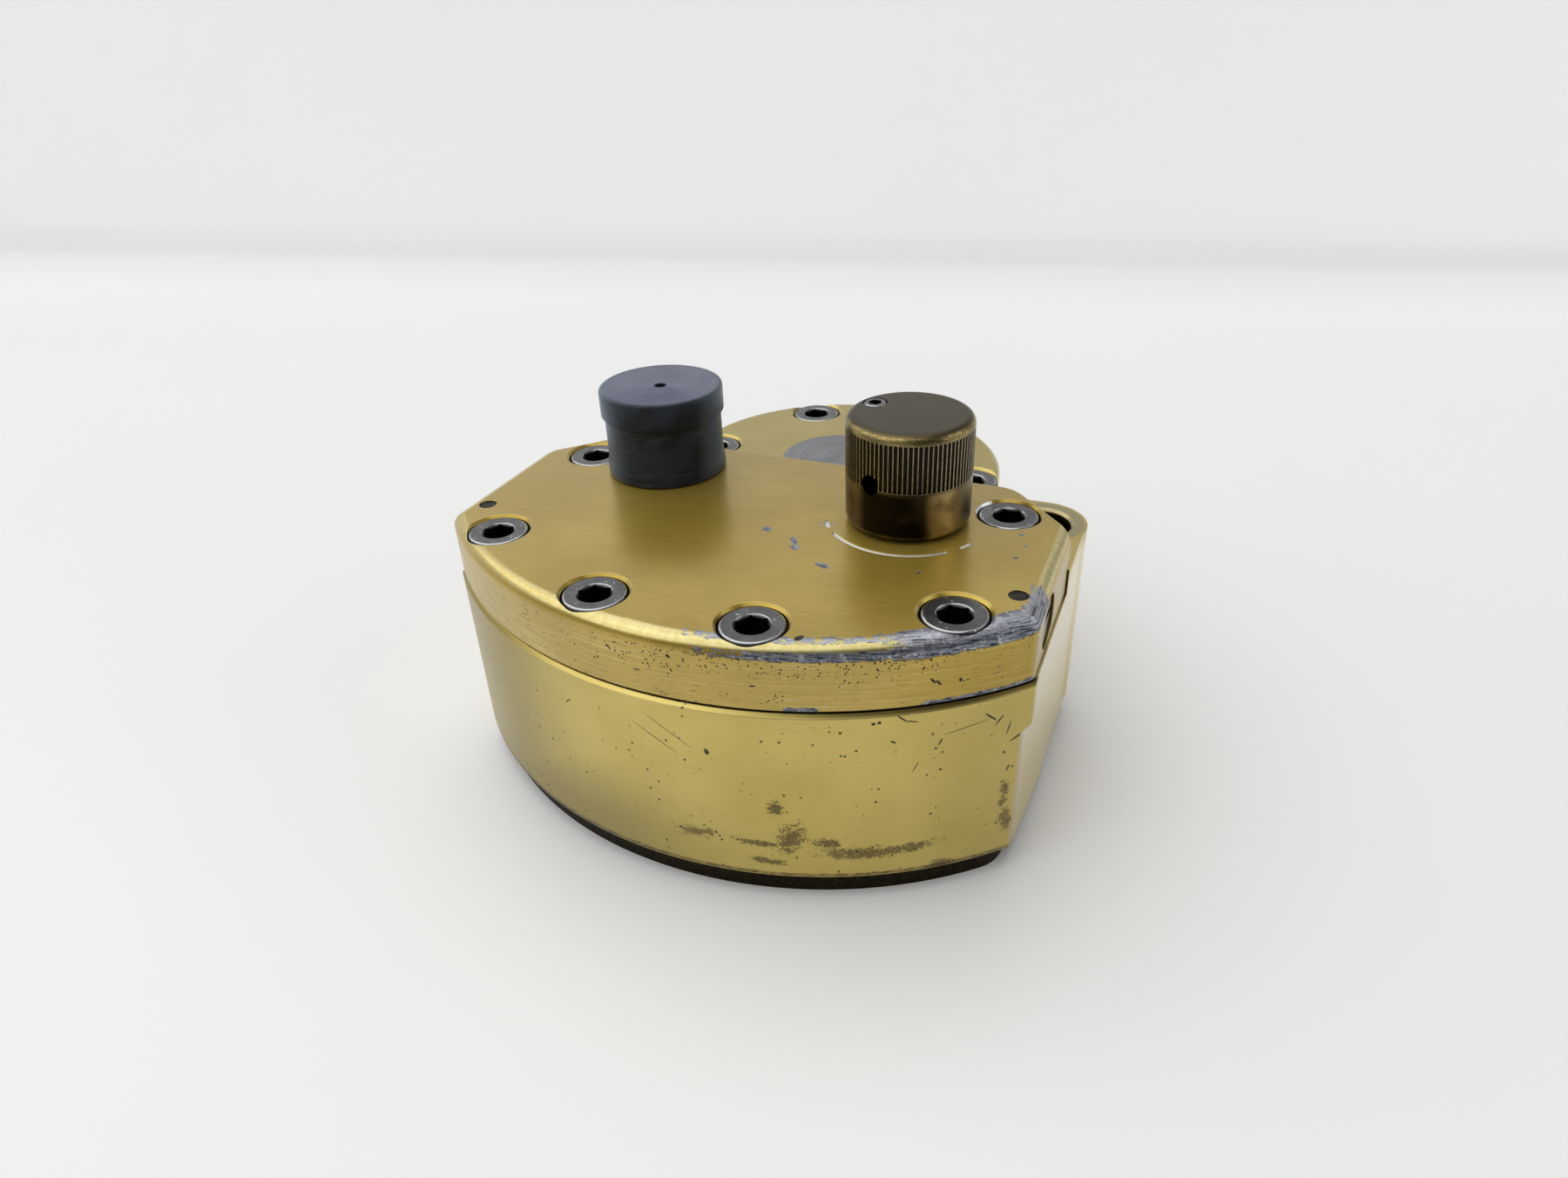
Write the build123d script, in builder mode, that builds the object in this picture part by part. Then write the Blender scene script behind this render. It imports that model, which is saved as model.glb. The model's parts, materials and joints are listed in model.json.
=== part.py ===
from build123d import *
import os
from math import atan2, cos, degrees, hypot, radians, sin, sqrt, tan

# Rotary vane steering damper, in millimetres and degrees.
# Frame: +Z up, the shaft's axis on Z, the shaft's lower end face at z = 0, the round front towards -Y.

# Heights
shaft_recess = 0.4
foot_height = 2.9
body_height = 27.2
plate_thickness = 9.5
deck_rise = 3.7
cap_thickness = 7.0
cover_pocket_depth = 2.3
roof_thickness = 7.0

# Outline seen from above
arc_offset = 7.4
front_radius = 58.3
plate_step = 0.3
half_width = 42.7
side_relief = 1.1
side_relief_length = 15.0
lip_height = 7.1
lobe_radius = 27.0
ear_radius = 6.7
ear_edge = 6.4
ear_forward = 11.4
plate_rear = 13.6
plate_cut_x = 10.25
plate_cut_y = 11.1
front_corner_round = 2.0
plate_cut_round = 5.0
plate_gap = 0.2
plate_edge_round = 2.0
seam_chamfer = 0.5
body_bottom_chamfer = 0.8
cap_edge_round = 1.2

# Socket screws, M5, of the plate, the cap and the ears
screw_radius = 2.5
screw_head_radius = 4.15
screw_head_height = 5.0
screw_head_round = 0.4
screw_end_chamfer = 0.5
screw_socket = 4.0
screw_socket_depth = 2.6
screw_socket_mouth = 0.4
screw_hole_radius = 2.75
counterbore_radius = 4.35
counterbore_depth = 5.2
counterbore_rim = 0.4
screw_edge = 4.95
plate_screw_length = 14.0
cap_screw_length = 10.0
tap_spare = 2.0
plate_screw_outer_angle = 38.1
plate_screw_inner_angle = 11.8
side_screw_edge = 9.1
side_screw_forward = 21.8
cap_screw_edge = 4.1
cap_screw_angle = 30.0

# Countersunk screws, M4, of the bottom cover
cover_screw_radius = 2.0
cover_screw_head_radius = 4.0
cover_screw_length = 11.0
cover_hole_radius = 2.25
cover_screw_socket = 2.5
cover_screw_socket_depth = 1.6
cover_screw_outset = 5.5
cover_screw_inner_angle = 12.0
cover_screw_outer_edge = 10.1
cover_side_screw_edge = 8.7
cover_side_screw_forward = 22.0
cover_rear_screw_inset = 6.9
cover_rear_screw_angle = 30.0
foot_inset = 1.3
foot_corner_round = 6.0
cover_rear = 16.5

# Oil chamber, rotor and shaft
front_wall = 15.7
side_wall = 7.5
swing = 40.0
vane_thickness = 8.0
vane_stop_gap = 0.15
vane_tip_gap = 0.3
vane_end_gap = 0.1
hub_radius = 12.0
boss_height = 3.2
tip_seal_width = 2.0
tip_seal_depth = 2.2
shaft_radius = 8.0
shaft_head_radius = 9.4
shaft_head_height = 3.2
shaft_head_rise = 0.8
shaft_head_chamfer = 0.3
thrust_washer_thickness = 0.5
bush_wall = 1.2
shaft_seal_height = 2.2
shaft_seal_wall = 3.0
ring_recess_depth = 2.4
ring_recess_radius = 11.6
retaining_ring_thickness = 1.0
retaining_ring_depth = 0.7
retaining_ring_width = 2.9
retaining_ring_gap = 5.0
retaining_ring_lift = 0.8
key_width = 4.0
key_height = 4.0
key_length = 12.0
arm_bolt_radius = 2.5
arm_bolt_depth = 14.0
arm_dowel_radius = 1.25
arm_dowel_spacing = 10.8
arm_dowel_depth = 6.0

# Flat seals
seal_inset = 1.0
seal_width = 1.6
seal_depth = 1.4

# Metering valve: knob, spindle and needle
knob_edge = 22.45
knob_y = -27.1
knob_radius = 8.63
knob_height = 15.0
knob_gap = 0.4
knob_top_round = 1.2
knob_foot_round = 0.9
flute_count = 84
flute_radius = 0.24
flute_top = 1.3
flute_length = 6.6
grub_hole_radius = 1.38
grub_angle = -110.0
grub_height = 7.6
grub_length = 3.0
detent_ring_radius = 6.0
detent_angle = 159.0
detent_screw_radius = 1.65
detent_screw_length = 4.0
detent_screw_chamfer = 0.25
detent_bore_radius = 1.3
detent_ball_radius = 1.25
detent_count = 24
detent_pocket_radius = 0.6
detent_pocket_depth = 0.4
detent_ball_lift = 0.08
spindle_radius = 2.5
spindle_grip = 11.0
spindle_collar_radius = 4.2
spindle_collar_height = 1.2
spindle_stud_radius = 1.5
spindle_stud_length = 3.0
gland_radius = 5.0
gland_depth = 4.5
o_ring_radius = 0.5
needle_radius = 3.5
needle_length = 1.5
needle_tip_radius = 1.3
needle_base_radius = 2.6
needle_cone_length = 5.2
needle_rib = 1.2
needle_travel = 0.9
metering_port_radius = 1.8
scale_radius = 11.3
scale_start = -135.0
scale_sweep = 87.0
scale_plus_angle = -150.0
scale_minus_angle = -30.0
scale_mark = 2.2
scale_line = 0.55
scale_depth = 0.2

# Relief valve under the rubber cap
relief_edge = 22.6
relief_y = -22.1
relief_radius = 6.5
relief_height = 10.0
relief_chamfer = 0.5
relief_spigot_radius = 5.0
relief_spigot_depth = 8.2
relief_bore_radius = 3.3
relief_screw_radius = 4.0
relief_screw_length = 4.2
relief_slot = 1.2
relief_slot_depth = 1.5
relief_port_radius = 2.0
poppet_radius = 2.7
poppet_stem_radius = 1.1
poppet_stem_length = 4.0
relief_wire = 0.7
relief_coil_radius = 2.1
relief_turns = 7
channel_width = 6.0
channel_depth = 3.2
rubber_radius = 9.3
rubber_skirt_radius = 8.85
rubber_foot_radius = 9.05
rubber_height = 13.15
rubber_collar_height = 3.7
rubber_foot_height = 1.6
rubber_top = 2.5
rubber_edge_round = 0.7
rubber_vent_radius = 0.85

# Sweep adjusters in the plate's sides and the drilled passages above them
sweep_behind_screw = 9.95
sweep_drop = 5.3
sweep_radius = 3.35
sweep_mouth_radius = 3.75
sweep_mouth_depth = 1.0
sweep_length = 14.0
sweep_sink = 0.4
sweep_slot = 1.1
sweep_slot_depth = 1.2
sweep_o_ring_inset = 6.0
plug_edge = 3.4
plug_ahead = 3.7
plug_radius = 1.3
plug_depth = 1.8
plug_sink = 0.15
passage_radius = 0.9

# Springs
detent_wire = 0.35
detent_coil_radius = 0.95
detent_turns = 9

# Clearances
run_gap = 0.05
fit_gap = 0.02
cover_gap = 0.1
seat_gap = 0.05

# Levels worked out from the heights
base_z = -shaft_recess
body_z = base_z + foot_height
cover_top_z = body_z + cover_pocket_depth
seat_z = body_z + body_height
top_z = seat_z + plate_thickness
deck_z = seat_z + deck_rise
cap_seat_z = deck_z - cap_thickness
chamber_top_z = seat_z - roof_thickness
channel_z = seat_z - channel_depth
lip_z = seat_z - lip_height
hub_z = cover_top_z + boss_height

# Places worked out from the outline
arc_y = -arc_offset
plate_radius = front_radius - plate_step
plate_half_width = half_width - plate_step
low_half_width = half_width - side_relief
ear_x = half_width - ear_edge
cut_start_x = plate_half_width - plate_cut_x
cut_end_y = -plate_rear - plate_cut_y
knob_x = half_width - knob_edge
relief_x = relief_edge - half_width
chamber_half = vane_thickness / 2 + vane_stop_gap
chamber_side = (half_width - side_wall - chamber_half * cos(radians(swing))) / sin(radians(swing))
chamber_radius = min(arc_offset + front_radius - front_wall, hypot(chamber_side, chamber_half))
bush_radius = shaft_radius + bush_wall
shaft_seal_radius = shaft_radius + shaft_seal_wall
ear_points = [(-ear_x, -ear_forward), (ear_x, -ear_forward)]
knob_point = (knob_x, knob_y)
relief_point = (relief_x, relief_y)


def on_circle(radius, angle, center_y=0.0):
    """Point at an angle from the forward direction, positive towards +X."""
    return (radius * sin(radians(angle)), center_y - radius * cos(radians(angle)))


def both_sides(points):
    return [(side * x, y) for x, y in points for side in (-1, 1)]


plate_screw_circle = plate_radius - screw_edge
plate_screw_points = both_sides([
    on_circle(plate_screw_circle, plate_screw_outer_angle, arc_y),
    on_circle(plate_screw_circle, plate_screw_inner_angle, arc_y),
    (plate_half_width - side_screw_edge, -side_screw_forward),
])
cap_screw_circle = lobe_radius - cap_screw_edge
cap_screw_points = both_sides([
    on_circle(cap_screw_circle, 180 - cap_screw_angle),
    on_circle(cap_screw_circle, 90),
])
cover_screw_circle = chamber_radius + cover_screw_outset
cover_outer_x = half_width - cover_screw_outer_edge
cover_screw_points = both_sides([
    on_circle(cover_screw_circle, cover_screw_inner_angle),
    (cover_outer_x, -sqrt(cover_screw_circle ** 2 - cover_outer_x ** 2)),
    (half_width - cover_side_screw_edge, -cover_side_screw_forward),
    on_circle(lobe_radius - cover_rear_screw_inset, 180 - cover_rear_screw_angle),
])
sweep_y = on_circle(plate_screw_circle, plate_screw_outer_angle, arc_y)[1] + sweep_behind_screw
plug_points = both_sides([(plate_half_width - plug_edge, sweep_y - plug_ahead)])
grub_direction = (cos(radians(grub_angle)), sin(radians(grub_angle)), 0)
detent_point = (
    knob_x + detent_ring_radius * cos(radians(detent_angle)),
    knob_y + detent_ring_radius * sin(radians(detent_angle)),
)

UP = (Align.CENTER, Align.CENTER, Align.MIN)


def bore(points, bottom, top, radius):
    """Cut round holes between two levels."""
    with Locations(*[(x, y, bottom) for x, y in points]):
        Cylinder(radius, top - bottom, align=UP, mode=Mode.SUBTRACT)


def screw_seat(points, bottom, top):
    """Cut holes with counterbores and bevelled rims for socket screws."""
    bore(points, bottom, top, screw_hole_radius)
    bore(points, top - counterbore_depth, top, counterbore_radius)
    with Locations(*[(x, y, top - counterbore_rim) for x, y in points]):
        Cone(
            counterbore_radius,
            counterbore_radius + counterbore_rim,
            counterbore_rim,
            align=UP,
            mode=Mode.SUBTRACT,
        )


def seam_edges(part, radius):
    """Front edges at the seam between the body and the plate."""
    arcs = part.edges().filter_by_position(Axis.Z, seat_z, seat_z).filter_by(GeomType.CIRCLE)
    return arcs.filter_by(lambda edge: abs(edge.radius - radius) < fit_gap)


def post(point, bottom, top, radius):
    """Add a round post between two levels."""
    with Locations((point[0], point[1], bottom)):
        Cylinder(radius, top - bottom, align=UP)


def ring(point, bottom, top, outer, inner):
    """Add a plain ring between two levels."""
    post(point, bottom, top, outer)
    bore([point], bottom, top, inner)


def o_ring(point, level, inner):
    with Locations((point[0], point[1], level)):
        Torus(inner + o_ring_radius, o_ring_radius)


def front_outline(radius, half, rear):
    """Sector with a round front and straight sides, back to a straight rear line."""
    with Locations((0, arc_y)):
        Circle(radius)
    with Locations((0, rear)):
        Rectangle(2 * half, 3 * radius, align=(Align.CENTER, Align.MAX), mode=Mode.INTERSECT)


def body_outline():
    """Front sector, two round ears with the web between them, and the rear bearing lobe."""
    front_outline(front_radius, half_width, -ear_forward)
    with Locations(*ear_points):
        Circle(ear_radius)
    with Locations((0, -ear_forward)):
        Rectangle(2 * ear_x, ear_radius, align=(Align.CENTER, Align.MIN))
    Circle(lobe_radius)


def plate_outline(radius, grow):
    """Front sector with a straight rear edge and two cut rear corners."""
    half = plate_half_width + grow
    slope = atan2(plate_cut_y, plate_cut_x)
    rear = -plate_rear + grow
    cut_x = cut_start_x + grow * tan(slope / 2)
    cut_y = cut_end_y + grow * tan(radians(45) - slope / 2)
    corner_y = arc_y - sqrt((radius + grow) ** 2 - half ** 2)
    with BuildLine() as border:
        Polyline(
            (-half, corner_y),
            (-half, cut_y),
            (-cut_x, rear),
            (cut_x, rear),
            (half, cut_y),
            (half, corner_y),
        )
        ThreePointArc((half, corner_y), (0, arc_y - radius - grow), (-half, corner_y))
    make_face(border.edges())


def cap_outline(radius, front):
    """Round cap with a flat towards the plate."""
    Circle(radius)
    with Locations((0, front)):
        Rectangle(4 * radius, 4 * radius, align=(Align.CENTER, Align.MIN), mode=Mode.INTERSECT)


def cover_outline(grow):
    """Foot of the bottom cover: the body's outline drawn in, without the ears."""
    inset = foot_inset - grow
    front_outline(front_radius - inset, low_half_width - inset, -cover_rear + grow)
    Rectangle(2 * (lobe_radius - inset), cover_rear, align=(Align.CENTER, Align.MAX))
    Circle(lobe_radius - inset)


def chamber_outline(grow, mode=Mode.ADD):
    """Space that the vane sweeps: a fan with walls along the vane's faces at its stops, and the hub."""
    half = chamber_half + grow
    radius = chamber_radius + grow
    along = sqrt(radius ** 2 - half ** 2)
    toward = (sin(radians(swing)), -cos(radians(swing)))
    across = (cos(radians(swing)), sin(radians(swing)))
    root = (half * across[0], half * across[1])
    tip = (root[0] + along * toward[0], root[1] + along * toward[1])
    with BuildLine() as border:
        Polyline((-tip[0], tip[1]), (-root[0], root[1]), root, tip)
        ThreePointArc(tip, (0, -radius), (-tip[0], tip[1]))
    make_face(border.edges(), mode=mode)
    Circle(hub_radius + run_gap + grow, mode=mode)


channel_length = hypot(knob_x - relief_x, knob_y - relief_y)
channel_turn = degrees(atan2(knob_y - relief_y, knob_x - relief_x))
channel_middle = ((knob_x + relief_x) / 2, (knob_y + relief_y) / 2)


def channel_outline(width, mode=Mode.ADD):
    """Slot from the metering port to the relief port."""
    with Locations(channel_middle):
        SlotCenterToCenter(channel_length, width, rotation=channel_turn, mode=mode)


def socket_screw(length):
    """M5 socket screw with the head's underside at z = 0."""
    with BuildPart() as screw:
        post((0, 0), 0, screw_head_height, screw_head_radius)
        fillet(screw.edges().group_by(Axis.Z)[-1], screw_head_round)
        with BuildSketch(Plane.XY.offset(screw_head_height)):
            RegularPolygon(screw_socket / 2, 6, major_radius=False)
        extrude(amount=-screw_socket_depth, mode=Mode.SUBTRACT)
        with Locations((0, 0, screw_head_height - screw_socket_mouth)):
            Cone(
                screw_socket / 2,
                screw_socket / 2 + screw_socket_mouth,
                screw_socket_mouth,
                align=UP,
                mode=Mode.SUBTRACT,
            )
        post((0, 0), -length, 0, screw_radius)
        chamfer(screw.edges().group_by(Axis.Z)[0], length=screw_end_chamfer)
    return screw.part


def coil(point, bottom, top, radius, wire, turns):
    """Wound spring of one unbroken wire between two levels; returns the least gap between turns."""
    pitch = (top - bottom - wire) / turns
    with BuildLine(Plane((point[0], point[1], bottom + wire / 2))) as path:
        Helix(pitch, pitch * turns, radius)
    with BuildSketch(Plane(origin=path.line @ 0, z_dir=path.line % 0)) as section:
        Circle(wire / 2)
    sweep(section.sketch, path=path.line, is_frenet=True)
    samples = [path.line @ (step / 200) for step in range(201)]
    apart = int(0.6 * 200 / turns)
    gaps = [
        (samples[late] - samples[early]).length - wire
        for early in range(len(samples))
        for late in range(early + apart, len(samples))
    ]
    return min(gaps)


os.makedirs("parts", exist_ok=True)

# Housing body, machined from below for the oil chamber
with BuildPart() as body:
    with BuildSketch(Plane.XY.offset(body_z)):
        body_outline()
    extrude(amount=body_height + deck_rise)
    chamfer(body.faces().sort_by(Axis.Z)[0].outer_wire().edges(), length=body_bottom_chamfer)
    for side in (-1, 1):
        outward = (side * side_relief_length, -side_relief, 0)
        forward = (-side_relief, -side * side_relief_length, 0)
        corner_y = arc_y - sqrt(front_radius ** 2 - low_half_width ** 2)
        with BuildSketch(Plane((side * low_half_width, corner_y, lip_z), x_dir=outward, z_dir=forward)):
            reach, drop = side_relief_length, body_z - lip_z
            Polygon((0, 0), (0, drop), (reach, drop), (reach, reach), align=None)
        extrude(amount=side_relief_length, both=True, mode=Mode.SUBTRACT)
    with BuildSketch(Plane.XY.offset(seat_z)):
        front_outline(2 * front_radius, 2 * half_width, cut_end_y)
        plate_outline(front_radius, plate_gap)
    extrude(amount=deck_rise, mode=Mode.SUBTRACT)
    with BuildSketch(Plane.XY.offset(cap_seat_z)):
        cap_outline(lobe_radius + cover_gap, -plate_rear)
    extrude(amount=cap_thickness, mode=Mode.SUBTRACT)
    with BuildSketch(Plane.XY.offset(body_z)) as pocket:
        cover_outline(cover_gap)
        fillet(pocket.vertices().group_by(Axis.Y)[0], foot_corner_round + cover_gap)
    extrude(amount=cover_pocket_depth, mode=Mode.SUBTRACT)
    with BuildSketch(Plane.XY.offset(cover_top_z)):
        chamber_outline(0)
    extrude(amount=chamber_top_z - cover_top_z, mode=Mode.SUBTRACT)
    bore([(0, 0)], chamber_top_z, cap_seat_z, shaft_radius + cover_gap)
    bore([(0, 0)], cap_seat_z - shaft_seal_height - seat_gap, cap_seat_z, shaft_seal_radius)
    with BuildSketch(Plane.XY.offset(channel_z)):
        channel_outline(channel_width)
    extrude(amount=channel_depth, mode=Mode.SUBTRACT)
    with BuildSketch(Plane.XY.offset(seat_z - seal_depth)):
        channel_outline(channel_width + 2 * (seal_inset + seal_width))
        channel_outline(channel_width + 2 * seal_inset, mode=Mode.SUBTRACT)
    extrude(amount=seal_depth, mode=Mode.SUBTRACT)
    bore([knob_point], chamber_top_z, channel_z, metering_port_radius)
    bore([relief_point], chamber_top_z, channel_z, relief_port_radius)
    tap_radius = screw_radius + fit_gap
    plate_tap_depth = plate_screw_length - (plate_thickness - counterbore_depth) + tap_spare
    cap_tap_depth = cap_screw_length - (cap_thickness - counterbore_depth) + tap_spare
    bore(plate_screw_points, seat_z - plate_tap_depth, seat_z, tap_radius)
    bore(cap_screw_points, cap_seat_z - cap_tap_depth, cap_seat_z, tap_radius)
    cover_tap_top_z = base_z + cover_screw_length + tap_spare
    bore(cover_screw_points, cover_top_z, cover_tap_top_z, cover_screw_radius + fit_gap)
    screw_seat(ear_points, body_z, deck_z)
    chamfer(seam_edges(body, front_radius), length=seam_chamfer)
body.part.label = "body"
export_step(body.part, "parts/body.step")

# Bottom cover: the foot that the damper stands on, with a boss for the lower bush
with BuildPart() as bottom_cover:
    with BuildSketch(Plane.XY.offset(base_z)) as foot:
        cover_outline(0)
        fillet(foot.vertices().group_by(Axis.Y)[0], foot_corner_round)
    extrude(amount=cover_top_z - base_z)
    post((0, 0), cover_top_z, hub_z, hub_radius)
    with BuildSketch(Plane.XY.offset(cover_top_z - seal_depth)):
        chamber_outline(seal_inset + seal_width)
        chamber_outline(seal_inset, mode=Mode.SUBTRACT)
    extrude(amount=seal_depth, mode=Mode.SUBTRACT)
    bore([(0, 0)], base_z, hub_z, bush_radius)
    bore([(0, 0)], base_z, base_z + ring_recess_depth, ring_recess_radius)
    bore(cover_screw_points, base_z, cover_top_z, cover_hole_radius)
    head_height = cover_screw_head_radius - cover_hole_radius
    with Locations(*[(x, y, base_z) for x, y in cover_screw_points]):
        Cone(cover_screw_head_radius, cover_hole_radius, head_height, align=UP, mode=Mode.SUBTRACT)
bottom_cover.part.label = "bottom_cover"
export_step(bottom_cover.part, "parts/bottom_cover.step")

with BuildPart() as cover_screw:
    flush = base_z + fit_gap
    head_radius = cover_screw_head_radius - 2 * fit_gap
    cone_height = head_radius - cover_screw_radius
    with Locations((0, 0, flush)):
        Cone(head_radius, cover_screw_radius, cone_height, align=UP)
    post((0, 0), flush + cone_height, base_z + cover_screw_length, cover_screw_radius)
    with BuildSketch(Plane.XY.offset(flush)):
        RegularPolygon(cover_screw_socket / 2, 6, major_radius=False)
    extrude(amount=cover_screw_socket_depth, mode=Mode.SUBTRACT)

with BuildPart() as bottom_cover_screws:
    with Locations(*cover_screw_points):
        add(cover_screw.part)
bottom_cover_screws.part.label = "bottom_cover_screws"
export_step(bottom_cover_screws.part, "parts/bottom_cover_screws.step")

with BuildPart() as cover_seal:
    with BuildSketch(Plane.XY.offset(cover_top_z - seal_depth)):
        chamber_outline(seal_inset + seal_width - seat_gap)
        chamber_outline(seal_inset + seat_gap, mode=Mode.SUBTRACT)
    extrude(amount=seal_depth - fit_gap)
cover_seal.part.label = "cover_seal"
export_step(cover_seal.part, "parts/cover_seal.step")

# Valve plate with the front edge rounded before its counterbores break into it
with BuildPart() as valve_plate:
    with BuildSketch(Plane.XY.offset(seat_z)) as plate_sketch:
        plate_outline(plate_radius, 0)
        fillet(plate_sketch.vertices().group_by(Axis.Y)[-1], plate_cut_round)
        fillet(plate_sketch.vertices().group_by(Axis.Y)[0], front_corner_round)
    extrude(amount=plate_thickness)
    top_edges = valve_plate.faces().sort_by(Axis.Z)[-1].edges()
    fillet(top_edges.filter_by(lambda edge: edge.center().Y < cut_end_y), plate_edge_round)
    chamfer(seam_edges(valve_plate, plate_radius), length=seam_chamfer)
    screw_seat(plate_screw_points, seat_z, top_z)
    # Metering valve: gland pocket, collar space and the needle's guide with its slot
    gland_z = top_z - gland_depth
    collar_z = gland_z - spindle_collar_height - 4 * run_gap
    bore([knob_point], gland_z, top_z, gland_radius)
    bore([knob_point], collar_z, gland_z, spindle_collar_radius + 4 * run_gap)
    bore([knob_point], seat_z, collar_z, needle_radius + run_gap)
    with Locations((knob_x + needle_radius, knob_y, seat_z)):
        Box(
            2 * (needle_rib / 2 + run_gap),
            needle_rib + 2 * run_gap,
            collar_z - seat_z,
            align=UP,
            mode=Mode.SUBTRACT,
        )
    with Locations((knob_x, knob_y, top_z - detent_pocket_depth)):
        with PolarLocations(detent_ring_radius, detent_count, start_angle=detent_angle):
            Cylinder(detent_pocket_radius, detent_pocket_depth, align=UP, mode=Mode.SUBTRACT)
    # Engraved scale in front of the knob, between a plus and a minus
    with BuildSketch(Plane((knob_x, knob_y, top_z))):
        with BuildLine() as scale_path:
            CenterArc((0, 0), scale_radius, scale_start, scale_sweep)
        SlotArc(scale_path.edge(), scale_line)
        with PolarLocations(scale_radius, 1, start_angle=scale_plus_angle):
            Rectangle(scale_mark, scale_line)
            Rectangle(scale_line, scale_mark)
        with PolarLocations(scale_radius, 1, start_angle=scale_minus_angle):
            Rectangle(scale_line, scale_mark)
    extrude(amount=-scale_depth, mode=Mode.SUBTRACT)
    # Relief valve: spigot of its body and the poppet's way
    relief_bottom_z = top_z - relief_spigot_depth
    bore([relief_point], relief_bottom_z, top_z, relief_spigot_radius)
    bore([relief_point], seat_z, relief_bottom_z, relief_bore_radius)
    # Sweep adjusters, and the plugged passages drilled down to them
    sweep_z = top_z - sweep_drop
    for side in (-1, 1):
        with Locations(Plane((side * plate_half_width, sweep_y, sweep_z), z_dir=(-side, 0, 0))):
            Cylinder(
                sweep_radius + run_gap,
                sweep_sink + sweep_length + run_gap,
                align=UP,
                mode=Mode.SUBTRACT,
            )
            Cylinder(sweep_mouth_radius, sweep_mouth_depth, align=UP, mode=Mode.SUBTRACT)
    bore(plug_points, top_z - plug_depth, top_z, plug_radius)
    bore(plug_points, sweep_z, top_z - plug_depth, passage_radius)
valve_plate.part.label = "valve_plate"
export_step(valve_plate.part, "parts/valve_plate.step")

plate_screw = socket_screw(plate_screw_length)
with BuildPart() as valve_plate_screws:
    with Locations(*[(x, y, top_z - counterbore_depth) for x, y in plate_screw_points]):
        add(plate_screw)
valve_plate_screws.part.label = "valve_plate_screws"
export_step(valve_plate_screws.part, "parts/valve_plate_screws.step")

with BuildPart() as plate_seal:
    with BuildSketch(Plane.XY.offset(seat_z - seal_depth)):
        channel_outline(channel_width + 2 * (seal_inset + seal_width - seat_gap))
        channel_outline(channel_width + 2 * (seal_inset + seat_gap), mode=Mode.SUBTRACT)
    extrude(amount=seal_depth - fit_gap)
plate_seal.part.label = "plate_seal"
export_step(plate_seal.part, "parts/plate_seal.step")

with BuildPart() as passage_plugs:
    with Locations(*[(x, y, top_z - plug_depth) for x, y in plug_points]):
        Cylinder(plug_radius - fit_gap, plug_depth - plug_sink, align=UP)
passage_plugs.part.label = "passage_plugs"
export_step(passage_plugs.part, "parts/passage_plugs.step")

# Bearing cap on the rear lobe
shaft_top_z = deck_z + shaft_head_rise
head_seat_z = shaft_top_z - shaft_head_height - thrust_washer_thickness
with BuildPart() as bearing_cap:
    with BuildSketch(Plane.XY.offset(cap_seat_z)):
        cap_outline(lobe_radius, -plate_rear + plate_gap)
    extrude(amount=cap_thickness)
    cap_top = bearing_cap.faces().sort_by(Axis.Z)[-1]
    fillet(cap_top.edges().filter_by(GeomType.CIRCLE), cap_edge_round)
    bore([(0, 0)], cap_seat_z, deck_z, bush_radius)
    bore([(0, 0)], head_seat_z, deck_z, shaft_head_radius + run_gap)
    screw_seat(cap_screw_points, cap_seat_z, deck_z)
bearing_cap.part.label = "bearing_cap"
export_step(bearing_cap.part, "parts/bearing_cap.step")

cap_screw = socket_screw(cap_screw_length)
with BuildPart() as bearing_cap_screws:
    with Locations(*[(x, y, deck_z - counterbore_depth) for x, y in cap_screw_points]):
        add(cap_screw)
bearing_cap_screws.part.label = "bearing_cap_screws"
export_step(bearing_cap_screws.part, "parts/bearing_cap_screws.step")

# Bushes, seals and washer round the shaft
with BuildPart() as upper_bush:
    ring((0, 0), cap_seat_z + seat_gap, head_seat_z - fit_gap, bush_radius - fit_gap, shaft_radius + run_gap)
upper_bush.part.label = "upper_bush"
export_step(upper_bush.part, "parts/upper_bush.step")

lower_seal_z = base_z + ring_recess_depth
lower_bush_z = lower_seal_z + shaft_seal_height
with BuildPart() as lower_bush:
    ring((0, 0), lower_bush_z + fit_gap, hub_z, bush_radius - fit_gap, shaft_radius + run_gap)
lower_bush.part.label = "lower_bush"
export_step(lower_bush.part, "parts/lower_bush.step")

with BuildPart() as upper_shaft_seal:
    seal_bottom_z = cap_seat_z - shaft_seal_height
    ring((0, 0), seal_bottom_z, cap_seat_z - fit_gap, shaft_seal_radius - fit_gap, shaft_radius + run_gap)
upper_shaft_seal.part.label = "upper_shaft_seal"
export_step(upper_shaft_seal.part, "parts/upper_shaft_seal.step")

with BuildPart() as lower_shaft_seal:
    ring((0, 0), lower_seal_z + fit_gap, lower_bush_z, bush_radius - fit_gap, shaft_radius + run_gap)
lower_shaft_seal.part.label = "lower_shaft_seal"
export_step(lower_shaft_seal.part, "parts/lower_shaft_seal.step")

with BuildPart() as thrust_washer:
    washer_top_z = head_seat_z + thrust_washer_thickness - fit_gap
    ring((0, 0), head_seat_z, washer_top_z, shaft_head_radius, shaft_radius + run_gap)
thrust_washer.part.label = "thrust_washer"
export_step(thrust_washer.part, "parts/thrust_washer.step")

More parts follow.
